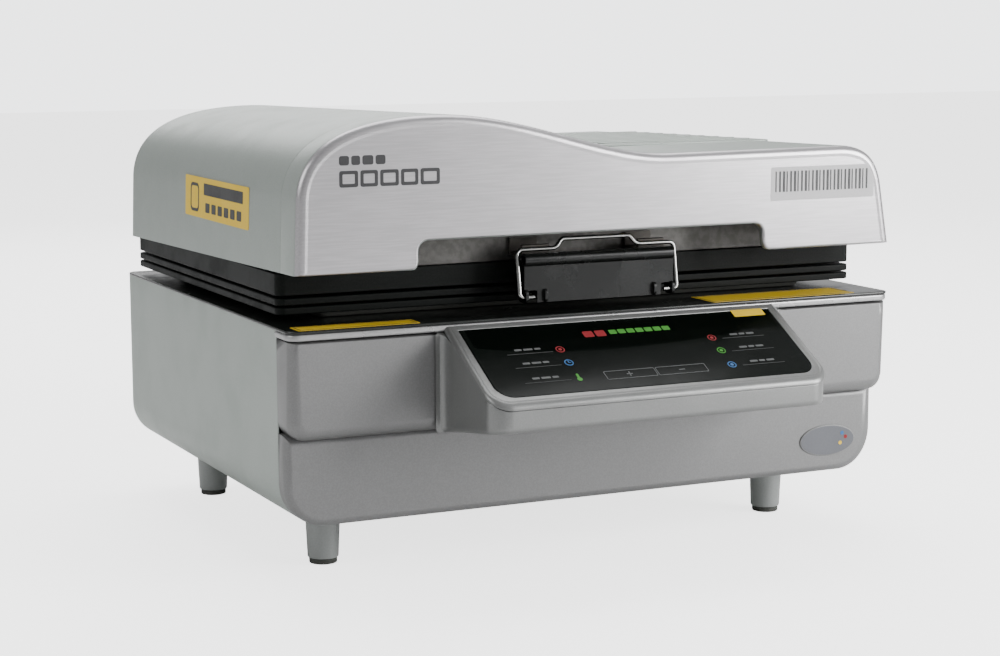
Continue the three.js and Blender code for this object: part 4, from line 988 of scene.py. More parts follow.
# ---------------------------------------------------------------- bands and membrane
@dataclass
class Bands:
    """The two rings that clamp the membrane, the lid's flange and the membrane itself.

    Attributes:
        edge: Radius of the rings' edges.
        corner: Corner radius of the rings.
        lower_height: Height of the lower ring's flat part.
        open_half: Half the width of the rings' opening.
        open_front: Front end of the opening.
        open_rear: Rear end of the opening.
        ear_radius: Radius of the hinge ears.
        ear_sides: Right-hand faces of the hinge ears.
        ear_width: Thickness of the hinge ears.
        sag: How far the membrane hangs down in its middle.
        body: The CAD body of all but the lid's flange.
    """

    edge: float = 1.0
    corner: float = 8.0
    lower_height: float = 6.2
    open_half: float = TRAY_HALF + 8
    open_front: float = TRAY_FRONT - 8
    open_rear: float = TRAY_REAR + 8
    ear_radius: float = 8.0
    ear_sides: tuple[float, float] = (-205.0, 235.0)
    ear_width: float = 7.0
    sag: float = 3.0
    body: str = "membrane_frame"

    def ring(self, name: str, z0: float, z1: float) -> Piece:
        """A flat ring between two heights."""
        outer = rounded(-BAND_HALF, BAND_HALF, BAND_FRONT, BAND_REAR, self.corner)
        inner = rounded(-self.open_half, self.open_half, self.open_front, self.open_rear, 2)
        return plate(name, [outer, inner], z0, z1, self.edge)

    def lower_ring(self) -> None:
        """The lower ring with its two hinge ears."""
        z0 = low("frame_lower").z
        z1 = z0 + self.lower_height
        pieces = [self.ring("frame_lower_ring", z0, z1)]
        for x1 in self.ear_sides:
            ear = Outline(BAND_REAR - 2, z0).line(HINGE_Y, HINGE_Z - self.ear_radius)
            ear.arc(HINGE_Y, HINGE_Z, self.ear_radius, 270, 450, 14)
            ear.line(HINGE_Y - 12, z1).line(BAND_REAR - 2, z1)
            loops = [ear.points, circle(HINGE_Y, HINGE_Z, 5.3)]
            pieces.append(plate("ear", loops, x1 - self.ear_width, x1, 0.6, Plane.SIDE))
        dress(joined("frame_lower_ring", *pieces), self.body, BAND, "frame_lower")

    def membrane(self) -> None:
        """The silicone sheet, which sags a little between the rings."""
        near, far = span("silicone_membrane")
        middle, reach = (self.open_front + self.open_rear) / 2, (self.open_rear - self.open_front) / 2
        columns, rows, rings = 40, 28, []
        for j in range(rows + 1):
            y = near.y + (far.y - near.y) * j / rows
            v = max(0.0, 1 - ((y - middle) / reach) ** 2)
            ring = []
            for i in range(columns + 1):
                x = near.x + (far.x - near.x) * i / columns
                u = max(0.0, 1 - (x / self.open_half) ** 2)
                ring.append(at(x, y, far.z - self.sag * math.sqrt(u * v)))
            rings.append(ring)
        sheet = Shell().loft(rings, closed=False).piece("silicone_sheet")
        thicken(sheet, 1.1, -1 if sheet.data.polygons[0].normal.z > 0 else 1)
        dress(sheet, self.body, SILICONE, "silicone_membrane")

    def build(self) -> None:
        """Makes the bands from the bottom up."""
        self.lower_ring()
        rings = (("frame_upper_ring", "frame_upper", self.body), ("lid_flange", "chamber_flange", "lid"))
        for name, node, body in rings:
            dress(self.ring(name, low(node).z, high(node).z), body, BAND, node)
        self.membrane()


# ---------------------------------------------------------------- base
@dataclass
class Base:
    """The base housing, its front moulding, deck, tray and feet.

    Attributes:
        floor: Height of its underside.
        corner: Radius of its lower corners.
        block_front: Front of the overhanging block.
        block_bottom: Underside of the overhanging block.
        lower_front: Front of the set-back face.
        right_rounding: How much rounder the set-back face's edge gets at its right end.
        strip_bottom: Lower edge of the bright strip.
        badge_middle: Middle of the oval plate, along x and z.
        body: The CAD body.
    """

    floor: float = low("base_wrap").z
    corner: float = 38.0
    block_front: float = low("base_fascia").y
    block_bottom: float = 133.0
    lower_front: float = 22.0
    right_rounding: float = 9.0
    strip_bottom: float = DECK_BOTTOM - 6.0
    badge_middle: Point = (247.5, 86.0)
    body: str = "base"

    def trough(self, half: float, z1: float, radius: float, rounding: float = 0, depth: float = 0) -> Outline:
        """The housing's outline from the front: round lower corners, straight sides.

        Args:
            half: Half its width.
            z1: Its upper edge.
            radius: Radius of the lower corners.
            rounding: Edge radius of its sides and bottom.
            depth: Depth of the return.

        Returns:
            The outline, whose closing edge is the top.
        """
        line = Outline(-half, self.floor + radius, rounding, depth)
        line.lower_corners(half, self.floor, radius, 14)
        return line.line(half, z1).edge(0.8, depth).line(-half, z1).edge(rounding, depth).close()

    def wrap(self) -> None:
        """The folded sheet round the sides and floor, with slots in the floor."""
        top = DECK_BOTTOM - 0.3
        line = self.trough(BASE_HALF, top, self.corner)
        start = line.points.index((BASE_HALF, top)) + 1
        points = line.points[start:] + line.points[:start]
        wrap = sheet_cover("base_skin", points, lambda x, z, d: at(x, d, z), 0.5, 2)
        slots = []
        for x in range(60, 141, 16):
            slots.append(plate("slot", [rounded(x, x + 6, 219, 319, 3)], self.floor - 5, self.floor + 5))
        cut_out(wrap, joined("slots", *slots))
        dress(wrap, self.body, SILVER, "base_wrap")

    def fascia(self) -> None:
        """The front moulding: an overhanging block above a set-back face."""
        top, bottom, half = self.strip_bottom - 1.3, self.block_bottom, BASE_HALF
        depth, radius, side_edge, lower_edge, top_edge = SEAM - self.block_front, 16.0, 9.0, 12.5, 2.0
        line = Outline(-half, bottom + radius)
        line.edge(lower_edge, depth).lower_corners(half, bottom, radius, 10)
        line.edge(side_edge, depth).line(half, top - 12).line(half, top)
        line.edge(top_edge, depth).line(-half, top).edge(side_edge, depth).line(-half, top - 12).close()
        block = moulding("fascia_block", line, lambda x, z, d: at(x, self.block_front + d, z), MOULDED_WALL)
        dress(block, self.body, FASCIA, "base_fascia")
        lower = self.trough(BASE_HALF, bottom + 4, self.corner, 7.0, SEAM - self.lower_front)
        for i, (x, _) in enumerate(lower.points):
            share = min(max((x - BASE_HALF) / self.corner + 1, 0), 1)
            lower.roundings[i] += self.right_rounding * share
        face = moulding("fascia_lower", lower, lambda x, z, d: at(x, self.lower_front + d, z), MOULDED_WALL)
        dress(face, self.body, FASCIA, "base_fascia")

    def strip(self) -> None:
        """The bright strip that runs round the front under the deck."""
        half, r = DECK_HALF - 0.2, 11.0
        front = low("deck_plate").y + 0.1
        line = Outline(half, SEAM).line(-half, SEAM).line(-half, front + r).lower_corners(half, front, r)
        strip = plate("front_strip", [line.points], self.strip_bottom, DECK_BOTTOM - 0.2, 1.6)
        dress(strip, self.body, STRIP)

    def badge(self) -> None:
        """A blank oval plate on the lower face."""
        def oval(width: float, height: float) -> Loop:
            """An ellipse's points about the badge's middle."""
            x, z = self.badge_middle
            angles = (2 * math.pi * i / 48 for i in range(48))
            return [(x + width * math.cos(a), z + height * math.sin(a)) for a in angles]

        layers = [
            ("badge_rim", oval(31, 15), -1.2, 0.2, 0.5, FASCIA),
            ("badge_field", oval(30, 14), -1.4, -1.0, 0.1, BADGE),
        ]
        for i, (x, z, ink) in enumerate(((268, 88, INK_RED), (264, 92, INK_BLUE), (262, 82.5, LABEL))):
            layers.append((f"badge_dot_{i + 1}", circle(x, z, 1.9), -1.6, -1.0, 0.0, ink))
        for name, loop, y0, y1, edge, finish in layers:
            piece = plate(name, [loop], self.lower_front + y0, self.lower_front + y1, edge, Plane.BACK)
            dress(piece, self.body, finish)

    def deck(self) -> None:
        """The black deck with its opening, and the rubber seal round the tray."""
        front = low("deck_plate").y
        outer = rounded(-DECK_HALF, DECK_HALF, front, BACK, 10)
        opening = rounded(-TRAY_HALF, TRAY_HALF, TRAY_FRONT, TRAY_REAR, 6)
        dress(plate("deck", [outer, opening], DECK_BOTTOM, DECK_TOP, 1.0), self.body, DECK, "deck_plate")
        z0, z1 = low("deck_seal").z, high("deck_seal").z
        loops = [rounded(-TRAY_HALF - m, TRAY_HALF + m, TRAY_FRONT - m, TRAY_REAR + m, 9) for m in (26, 14)]
        dress(plate("tray_seal", loops, z0, z1, 2.6), self.body, RUBBER, "deck_seal")

    def deck_labels(self) -> None:
        """Plain yellow labels with dark borders on the deck's front ledge."""
        label_top = DECK_TOP + 0.2
        for i, (x0, x1, y0, y1) in enumerate([(-294, -182, 9, 32), (112, 268, 10, 52)]):
            label = plate(f"deck_label_{i + 1}", [rounded(x0, x1, y0, y1, 2)], DECK_TOP, label_top)
            dress(label, self.body, LABEL)
            border = [rounded(x0 + m, x1 - m, y0 + m, y1 - m, 1) for m in (2, 3.2)]
            dress(plate(f"deck_border_{i + 1}", border, label_top, DECK_TOP + 0.3), self.body, INK_DARK)

    def platen(self) -> None:
        """The perforated plate in the tray, on four legs."""
        near, far = span("tray_platen")
        z0, columns, rows, margin = far.z - 3, 24, 17, 18
        loops = [rounded(near.x, far.x, near.y, far.y, 4)]
        for i in range(columns):
            for j in range(rows):
                x = near.x + margin + (far.x - near.x - 2 * margin) * i / (columns - 1)
                y = near.y + margin + (far.y - near.y - 2 * margin) * j / (rows - 1)
                loops.append(circle(x, y, 2.5, 10))
        pieces = [plate("platen", loops, z0, far.z, 0.3)]
        for x in (near.x + 22, far.x - 22):
            for y in (near.y + 22, far.y - 22):
                pieces.append(plate("leg", [circle(x, y, 6, 20)], near.z, z0 - 0.01, 0.5))
        dress(joined("tray_plate", *pieces), self.body, ALUMINIUM, "tray_platen")

    def feet(self) -> None:
        """Four turned feet with rubber pads."""
        for place in ("front_left", "front_right", "rear_left", "rear_right"):
            near, far = span(f"foot_{place}")
            x, y = (near.x + far.x) / 2, (near.y + far.y) / 2
            top, pad = far.z, high(f"foot_pad_{place}").z
            widest, sole = (far.x - near.x) / 2, high(f"foot_pad_{place}").x - x
            leg = [(widest - 5, pad + 0.3), (widest - 4, pad + 0.5), (widest - 3.5, pad + 1.4)]
            leg += [(widest - 1.7, top - 7.5), (widest - 1.5, top - 5)]
            leg += [(widest - 0.4, top - 3.8), (widest, top - 2.8), (widest, top)]
            dress(turned(f"foot_leg_{place}", leg, at(x, y, 0), Z), self.body, FOOT, f"foot_{place}")
            cap = [(sole - 1.4, 0.0), (sole - 0.4, 0.3), (sole, 1.2), (sole, 2.2)]
            cap += [(sole - 0.6, 2.7), (sole, 3.2), (sole, pad)]
            dress(turned(f"foot_sole_{place}", cap, at(x, y, 0), Z), self.body, RUBBER, f"foot_pad_{place}")

    def build(self) -> None:
        """Makes every piece of the base."""
        self.wrap()
        self.fascia()
        self.strip()
        self.badge()
        self.deck()
        self.deck_labels()
        self.platen()
        self.feet()
        dress_nodes(ALUMINIUM, 0.5, "vacuum_tray")


# ---------------------------------------------------------------- console
class Sign(Enum):
    """The small signs printed on the panel."""

    TARGET = "a dot in a ring"
    CLOCK = "two hands in a ring"
    THERMOMETER = "a bulb with a stem"


@dataclass
class Console:
    """The sloped touch console: its housing, black panel and plain printed marks.

    Attributes:
        half: Half its width.
        middle: Its middle along x.
        front: Its foremost line.
        back: Where its top meets the base.
        top_front: Height of the sloped top at the front.
        bottom_front: Height of the underside at the front.
        bottom_back: Height of the underside at the back.
        corner: Corner radius from above.
        panel_corner: Corner radius of the black panel.
        rim: Radius of the bezel's edge.
        flare: How far the tub's sides curve out where they meet the base.
        body: The CAD body.
    """

    half: float = (high("console_housing").x - low("console_housing").x) / 2
    middle: float = centre("console_housing", 0)
    front: float = low("console_housing").y
    back: float = 4.3
    top_front: float = 171.3
    bottom_front: float = 146.0
    bottom_back: float = 132.0
    corner: float = 20.0
    panel_corner: float = 15.0
    rim: float = 4.0
    flare: float = 9.0
    body: str = "base"

    def __post_init__(self) -> None:
        """Works out the slope from the housing's own height."""
        top = high("console_housing")
        self.slope = math.atan2(top.z - self.top_front, top.y - self.front - 2)
        self.top_back = top.z - (top.y - self.back) * math.tan(self.slope)

    def top(self, y: float) -> float:
        """Height of the sloped top at y."""
        return self.top_back - (self.back - y) * math.tan(self.slope)

    def flared_plan(self) -> Loop:
        """The tub from above, with side walls that curve out at the base; the closing edge is the back."""
        half, front, back, flare = self.half, self.front, self.back, self.flare
        line = Outline(-half - flare, back)
        line.curve((-half - flare * 0.3, back), (-half, back - flare * 0.7), (-half, back - 2 * flare), 8)
        line.line(-half, front + self.corner).lower_corners(half, front, self.corner, 14)
        line.line(half, back - 2 * flare)
        line.curve((half, back - flare * 0.7), (half + flare * 0.3, back), (half + flare, back), 8)
        return line.points

    def straight_plan(self, half: float, front: float, back: float, radius: float) -> Loop:
        """A shape from above with round front corners and straight sides; the closing edge is the back."""
        line = Outline(-half, back).line(-half, back - 18).line(-half, front + radius)
        return line.lower_corners(half, front, radius, 14).line(half, back - 18).line(half, back).points

    def panel_plan(self, margin: float) -> Loop:
        """The black panel from above, grown by a margin."""
        front, back = self.front + 9.6 - margin, self.back - 5.5 + margin
        return self.straight_plan(self.half - 11 + margin, front, back, self.panel_corner + margin)

    def set_at(self, x: float, y: float, drop: float) -> Vector:
        """A place on the sloped top, lowered by a drop; x counts from the console's middle."""
        return at(x + self.middle, y, self.top(y) - drop)

    def panel_rings(self, stages: Iterable[Point]) -> list[list[Vector]]:
        """Rings on the slope like the panel's outline; stages pair a margin with a drop."""
        return [[self.set_at(*point, drop) for point in self.panel_plan(margin)] for margin, drop in stages]

    def rings(self, points: Loop, stages: Iterable[Point]) -> list[list[Vector]]:
        """Rings on the slope inside an outline; stages pair an inset with a drop."""
        return [[self.set_at(*point, drop) for point in shrink(points, inward)] for inward, drop in stages]

    def bezel(self) -> None:
        """The bezel cover: pocket, flat rim, rounded edge, wall and seam."""
        rim = self.rim
        stages = [(rim + 1.6, 0.0), (rim + 1.2, 0.45), (rim + 0.7, 0.45)]
        stages += [(rim * (1 - math.sin(t)), rim * (1 - math.cos(t))) for t in quarter_turn(EDGE_STEPS)]
        stages += [(0.0, 4.6), (0.6, 5.2), (4.0, 5.2)]
        outside = self.straight_plan(self.half, self.front, self.back, self.corner)
        rings = self.panel_rings(((0.45, 3.6), (0.45, 0.5), (0.9, 0.0))) + self.rings(outside, stages)
        cover = Shell().loft(rings).piece("console_bezel")
        dress(cover, self.body, BEZEL, "console_housing", crisp=50)

    def bottom(self, y: float) -> float:
        """Height of the underside at y."""
        share = (y - self.front) / (self.back - self.front)
        return self.bottom_front + (self.bottom_back - self.bottom_front) * share

    def tub(self) -> None:
        """The tub below the bezel, with a rounded lower edge."""
        points, step_in, radius = self.flared_plan(), 1.3, 5.0
        rings = self.rings(points, ((5.0, 6.2), (2.0, 6.2), (step_in, 6.7)))
        for turn in quarter_turn(5):
            loop = shrink(points, step_in + radius * (1 - math.cos(turn)))
            rise = radius * (1 - math.sin(turn))
            rings.append([at(x + self.middle, y, self.bottom(y) + rise) for x, y in loop])
        shell = Shell().loft(rings)
        shell.mesh.verts.ensure_lookup_table()
        shell.fill(shell.mesh.verts[-len(points):])
        dress(shell.piece("console_tub"), self.body, BEZEL, "console_housing", crisp=50)

    def glass(self) -> None:
        """The black panel, flush in the bezel."""
        rings = self.panel_rings(((0.0, 2.6), (0.0, 0.6), (-0.5, 0.1)))
        panel = Shell().loft(rings, ends=True).piece("touch_panel")
        dress(panel, self.body, GLASS, "control_glass")

    def on_panel(self) -> Matrix:
        """From x and the distance down the slope to the panel's face."""
        tilt = self.slope
        up = Vector((0, math.cos(tilt), math.sin(tilt)))
        out = Vector((0, -math.sin(tilt), math.cos(tilt)))
        top = high("console_housing")
        return basis(X, up, out, at(0, top.y, top.z))

    def mark(self, name: str, loops: Sequence[Loop], ink: Finish, height: float = 0.12) -> None:
        """A flat printed mark; v is 0 at the panel's back and falls towards the front."""
        dress(plate(name, loops, -0.25, height, 0.0, self.on_panel()), self.body, ink)

    def marks(self) -> None:
        """Plain printed marks: signs, bars and two keys, with no words."""
        rows = ((-45.5, Sign.TARGET, INK_RED, INK_RED), (-64.5, Sign.CLOCK, INK_BLUE, INK_GREEN),
                (-85.5, Sign.THERMOMETER, INK_GREEN, INK_BLUE))
        for row, (v, sign, left_ink, right_ink) in enumerate(rows, 1):
            self.icon(f"left_icon_{row}", -69.0, v, sign, left_ink)
            self.icon(f"right_icon_{row}", 84.0, v, Sign.TARGET, right_ink)
            self.bars(f"left_bars_{row}", -112.0, v + 3.2, (7, 9, 6))
            self.bars(f"right_bars_{row}", 104.0, v + 2.6, (8, 6, 8))
            self.mark(f"left_line_{row}", [rounded(-121, -77, v - 2.6, v - 2.0, 0.3)], INK_DIM)
            self.mark(f"right_line_{row}", [rounded(94, 138, v - 2.4, v - 1.8, 0.3)], INK_DIM)
        for name, x0, x1 in (("minus_key", -43.5, 6.5), ("plus_key", 7.5, 57.5)):
            frame_loops = [rounded(x0 + m, x1 - m, m - 92, -80.5 - m, 1.5 - m * 2 / 3) for m in (0, 0.6)]
            self.mark(name, frame_loops, INK_GREY)
        strokes = (("plus_sign", -22.5, -16.5, -86.8, -85.7), ("plus_stroke", -20.05, -18.95, -89.2, -83.3),
                   ("minus_sign", 29.5, 35.5, -86.8, -85.7))
        for name, *ends in strokes:
            self.mark(name, [rounded(*ends, 0.2)], INK_GREY)
        self.mark("title_start", [rounded(x, x + 10, -31.5, -23, 1.5) for x in (-38, -26)], INK_RED, 0.1)
        bars = [rounded(x, x + 7.5, -29.5, -23.5, 1) for x in range(-12, 43, 9)]
        self.mark("title_end", bars, INK_GREEN, 0.1)
        zone = Outline(-146, -9).line(160, -9).line(160, -36)
        zone.curve((90, -45), (20, -50), (-30, -50), 16).curve((-80, -49), (-120, -43), (-146, -35), 16)
        self.mark("panel_zone", [zone.close().points[::-1]], ZONE, 0.04)
        self.mark("panel_label", [rounded(123, 156, -18, -8, 1)], LABEL, 0.2)

    def icon(self, name: str, x: float, v: float, sign: Sign, ink: Finish) -> None:
        """A small plain sign."""
        if sign is Sign.THERMOMETER:
            stem = Outline(x - 1.2, v - 1.5).arc(x, v - 2.5, 2.4, 120, 420, 20)
            stem.line(x + 1.2, v + 4).arc(x, v + 4, 1.2, 0, 180)
            self.mark(name, [stem.close().points], ink)
            return
        self.mark(name, [circle(x, v, 4.2), circle(x, v, 3.3)], ink)
        inner = [circle(x, v, 1.7, 20)]
        if sign is Sign.CLOCK:
            inner = [rounded(x - 0.4, x + 0.4, v - 0.4, v + 2.6, 0.3)]
            inner.append(rounded(x + 0.5, x + 2.3, v - 0.4, v + 0.4, 0.3))
        self.mark(f"{name}_middle", inner, ink)

    def bars(self, name: str, x: float, v: float, widths: Sequence[float]) -> None:
        """A row of short bars in place of a word."""
        loops = []
        for width in widths:
            loops.append(rounded(x, x + width, v - 1.2, v + 1.2, 0.8))
            x += width + 1.6
        self.mark(name, loops, INK_GREY)

    def build(self) -> None:
        """Makes every piece of the console."""
        self.bezel()
        self.tub()
        self.glass()
        self.marks()
        dress_nodes(BOARD, 0.2, "control_board")


# ---------------------------------------------------------------- latch
@dataclass
class Latch:
    """The over-centre latch: bracket, pin, pull lever, wire bail and the lid's keepers.

    Attributes:
        half: Half the lever's width.
        ear_inside: Inner faces of the bracket's ears, from the middle.
        plate_wall: Thickness of its ears and lugs.
        eye: Radius of the eyes round the pin.
        wire: Radius of the bail's wire.
        bail_half: Half the bail's width.
        bail_forward: How far in front of the pivot the bail's feet stand.
        notch: Inner end of the lever's cut corners and of the bail's feet.
        bar_lift: Height of the bail's bar above its feet.
        bump: Height of the bar's raised middle.
        bump_half: Half the width of the raised middle.
    """

    half: float = high("latch_lever").x
    ear_inside: float = 50.0
    plate_wall: float = 3.0
    eye: float = 2.35
    wire: float = 2.0
    bail_half: float = 80.0
    bail_forward: float = 7.0
    notch: float = 66.0
    bar_lift: float = 42.0
    bump: float = 8.0
    bump_half: float = 38.0

    def lever(self) -> None:
        """The pull plate with its rolled grip and its lugs."""
        front, grip_z, r = PIVOT_Y - 7.5, PIVOT_Z + 33, 6.0
        line = Outline(front, PIVOT_Z - 5).line(front + 2, PIVOT_Z - 5)
        line.arc(front + 2.5, grip_z, r - 2, 262, -40, 24).arc(front + 2.5, grip_z, r, -40, 245, 28)
        pull = plate("pull", [line.close().points], -self.half, self.half, 0.5, Plane.SIDE)
        corners = []
        for x0, x1 in ((-self.half - 1, 3 - self.notch), (self.notch - 3, self.half + 1)):
            gap = rounded(x0, x1, PIVOT_Z - 9, PIVOT_Z + 6, 2)
            corners.append(plate("corner", [gap], front - 3, front + 5, 0.0, Plane.BACK))
        cut_out(pull, *corners)
        pieces = [pull]
        bail_y = PIVOT_Y - self.bail_forward
        bail_eye, pin_eye = circle(bail_y, PIVOT_Z, 2.7), circle(PIVOT_Y, PIVOT_Z, self.eye)
        wall, inner = self.plate_wall, self.ear_inside + self.plate_wall + 1
        lugs = [(-self.half, bail_eye), (self.half - wall, bail_eye)]
        lugs += [(inner, pin_eye), (-inner - wall, pin_eye)]
        for x0, eye in lugs:
            loops = [rounded(bail_y - 4.4, PIVOT_Y + 4, PIVOT_Z - 5, PIVOT_Z + 7, 4), eye]
            pieces.append(plate("lug", loops, x0, x0 + wall, 0.4, Plane.SIDE))
        dress(joined("pull_lever", *pieces), "latch_lever", LATCH_BLACK, "latch_lever")

    def bail(self) -> None:
        """The sprung wire loop, raised in its middle."""
        bar_z, top = PIVOT_Z + self.bar_lift, PIVOT_Z + self.bar_lift + self.bump
        lean, foot = self.bail_forward / self.bar_lift, PIVOT_Y - self.bail_forward
        half, bump = self.bail_half, self.bump_half
        line = Outline(0, top).line(bump - 6, top)
        line.curve((bump, top), (bump - 1, bar_z), (bump + 7, bar_z), 10)
        line.arc(half - 5, bar_z - 5, 5, 90, 0).arc(half - 3.5, PIVOT_Z + 3.5, 3.5, 0, -90)
        right = line.line(self.notch, PIVOT_Z).points
        points = [(-x, z) for x, z in reversed(right[1:])] + right
        places = [at(x, foot + (z - PIVOT_Z) * lean, z) for x, z in points]
        wire = rod("wire_bail", places, self.wire, 5)
        dress(wire, "latch_bail", BRIGHT, "latch_bail", crisp=60)

    def keepers(self) -> None:
        """Two rolled keepers on the chamber's front wall."""
        for side in ("left", "right"):
            near, far = span(f"keeper_{side}")
            y0, y1, z0, z1 = near.y, far.y, near.z, far.z
            lip = z0 + 12
            line = Outline(y1, z0).line(y1, z1).line(y1 - 3, z1).line(y1 - 3, z0 + 4.5)
            line.arc(y1 - 4.5, z0 + 4.5, 1.5, 0, -90, 5).line(y0 + 5, z0 + 3)
            line.arc(y0 + 5, z0 + 5, 2, 270, 180, 6).line(y0 + 3, lip - 1.5)
            line.arc(y0 + 1.5, lip - 1.5, 1.5, 0, 180).line(y0, z0 + 4).arc(y0 + 4, z0 + 4, 4, 180, 270)
            loop = line.close().points[::-1]
            hook = plate(f"keeper_hook_{side}", [loop], near.x, far.x, 0.9, Plane.SIDE)
            dress(hook, "lid", BRONZE, f"keeper_{side}")

    def bracket(self) -> None:
        """The bracket on the membrane frame, with two eyes for the pin."""
        near, far = span("latch_bracket")
        outside = self.ear_inside + self.plate_wall
        back = rounded(-outside, outside, near.z + 1, far.z, 2)
        pieces = [plate("back", [back], far.y - 2.5, far.y, 0.4, Plane.BACK)]
        line = Outline(far.y - 1.5, PIVOT_Z - 4).line(far.y - 1.5, PIVOT_Z + 4)
        loops = [line.arc(PIVOT_Y, PIVOT_Z, 5, 53, 307, 20).close().points]
        loops.append(circle(PIVOT_Y, PIVOT_Z, self.eye))
        for x0 in (-outside, self.ear_inside):
            pieces.append(plate("ear", loops, x0, x0 + self.plate_wall, 0.4, Plane.SIDE))
        dress(joined("latch_base", *pieces), "membrane_frame", LATCH_BLACK, "latch_bracket")

    def pin(self) -> None:
        """The pin, domed at its head."""
        reach = self.ear_inside + 15
        profile = [(0.8, -reach - 2), (2.2, -reach - 1.7), (3.1, -reach - 0.8), (3.1, -reach)]
        profile += [(2.0, -reach + 0.1), (2.0, reach - 0.6), (1.5, reach)]
        piece = turned("pivot_pin", profile, at(0, PIVOT_Y, PIVOT_Z), X, 24)
        dress(piece, "membrane_frame", BRIGHT, "latch_pin")

    def build(self) -> None:
        """Makes every piece of the latch."""
        self.bracket()
        self.pin()
        self.lever()
        self.bail()
        self.keepers()


# ---------------------------------------------------------------- back and inside
@dataclass
class RearFittings:
    """The rear sheet with its grille and vents, and what is mounted in it.

    Attributes:
        gap: Distance from the housing's outside to the sheet's edge.
        fittings_z: Height of the fittings' middles.
        inlet_x: Middle of the mains inlet.
        fuse_x: Middle of the fuse holder.
        switch_x: Middle of the power switch.
        fan_x: Middle of the cooling fan along x.
        fan_z: Middle of the cooling fan along z.
        slot_half: Half the width of the grille's slots.
        body: The CAD body.
    """

    gap: float = 2.3
    fittings_z: float = 96.0
    inlet_x: float = 205.0
    fuse_x: float = 158.0
    switch_x: float = 118.0
    fan_x: float = -190.0
    fan_z: float = 128.0
    slot_half: float = 2.0
    body: str = "base"

    def grille(self) -> list[Loop]:
        """Slots in rings round the fan's middle, with four ribs between them."""
        slots = []
        for radius in (10, 17, 24, 31):
            inside, outside = radius - self.slot_half, radius + self.slot_half
            for quarter in (45, 135, 225, 315):
                start, end = quarter + 220 / radius, quarter + 90 - 220 / radius
                angle = math.radians(start)
                slot = Outline(self.fan_x + inside * math.cos(angle), self.fan_z + inside * math.sin(angle))
                slot.arc(self.fan_x, self.fan_z, inside, start, end)
                slot.arc(self.fan_x, self.fan_z, outside, end, start)
                slots.append(slot.close().points)
        return slots

    def sheet(self) -> None:
        """The rear sheet."""
        base, z = Base(), self.fittings_z
        shape = base.trough(BASE_HALF - self.gap, DECK_BOTTOM - 1.3, base.corner - self.gap).points
        loops = [[(u, max(v, base.floor + self.gap)) for u, v in shape]]
        loops.append(rounded(self.inlet_x - 14, self.inlet_x + 14, z - 11, z + 11, 1))
        loops.append(rounded(self.switch_x - 11, self.switch_x + 11, z - 14.3, z + 14.3, 1))
        loops.append(circle(self.fuse_x, z, 6.5))
        loops += self.grille()
        loops += [rounded(x, x + 5, z - 20, z + 30, 2.5) for x in range(-60, 32, 13)]
        sheet = plate("rear_sheet", loops, BACK - 4, BACK - 2, 0.3, Plane.BACK)
        dress(sheet, self.body, SILVER, "base_rear_panel")

    def screws(self) -> None:
        """Pan-head screws round the rear sheet and the fan."""
        profile = [(3.6, 0.0), (3.6, 0.6), (3.1, 1.5), (1.6, 1.9), (1.5, 1.2), (0.4, 1.2)]
        spots = [(-285, 215), (-285, 110), (-95, 215), (95, 215), (285, 215), (285, 110)]
        spots += [(self.fan_x + dx, self.fan_z + dz) for dx in (-35.5, 35.5) for dz in (-35.5, 35.5)]
        spots += [(-200, 63), (0, 63), (200, 63)]
        for i, (x, z) in enumerate(spots, 1):
            dress(turned(f"rear_screw_{i}", profile, at(x, BACK - 2, z), Y, 20), self.body, BRIGHT)

    def build(self) -> None:
        """Makes the rear sheet and finishes the fittings."""
        self.sheet()
        self.screws()
        dress_nodes(PLASTIC, 0.5, "mains_inlet", "fuse_holder", "switch_bezel", "switch_rocker")
        dress_nodes(PLASTIC, 0.3, "cooling_fan_frame", "cooling_fan_rotor")


@dataclass
class Hinges:
    """Two rear hinges that carry the lid and the membrane frame.

    Attributes:
        coil: Radius of the springs' windings.
        turns: Number of windings.
        steps: Straight pieces in one winding.
    """

    coil: float = 7.6
    turns: int = 6
    steps: int = 20

    def spring(self, side: str) -> None:
        """A close-wound helper spring on a pin."""
        x0, x1 = low(f"hinge_spring_{side}").x + 1, high(f"hinge_spring_{side}").x - 1
        count = self.turns * self.steps
        points = []
        for i in range(count + 1):
            angle = 2 * math.pi * i / self.steps
            place = (HINGE_Y + self.coil * math.sin(angle), HINGE_Z + self.coil * math.cos(angle))
            points.append(at(x0 + (x1 - x0) * i / count, *place))
        wire = rod(f"helper_spring_{side}", points, 0.9, 3)
        dress(wire, "base", BRIGHT, f"hinge_spring_{side}", crisp=60)

    def build(self) -> None:
        """Makes the springs and finishes the hinges' own pieces."""
        for side in ("left", "right"):
            self.spring(side)
            dress_nodes(ZINC, 0.7, f"hinge_bracket_{side}", f"hinge_arm_{side}")
            dress_nodes(BRIGHT, 0.5, f"hinge_pin_{side}")


@dataclass
class Inside:
    """What lies in the chamber and in the base, kept from the frame.

    Attributes:
        edges: Edge radius of most of it.
        thin_edges: Edge radius of the baffle, the heaters and the probe.
    """

    edges: float = 0.5
    thin_edges: float = 0.2

    def build(self) -> None:
        """Finishes each node that stays as the frame has it."""
        dress_nodes(CASING, self.edges, "chamber_casing")
        dress_nodes(ZINC, self.edges, "pump_cradle")
        dress_nodes(WOOL, self.edges, "chamber_insulation")
        dress_nodes(ALUMINIUM, self.edges, "chamber_liner", "convection_fan", "pump_head")
        dress_nodes(BARE, self.thin_edges, "air_baffle", "heater_front", "heater_rear", "temperature_probe")
        dress_nodes(MOTOR, self.edges, "fan_motor", "pump_motor")
        dress_nodes(PLASTIC, self.edges, "vacuum_valve")
        dress_nodes(SILICONE, self.edges, "vacuum_hose")
        dress_nodes(BOARD, self.edges, "power_board")


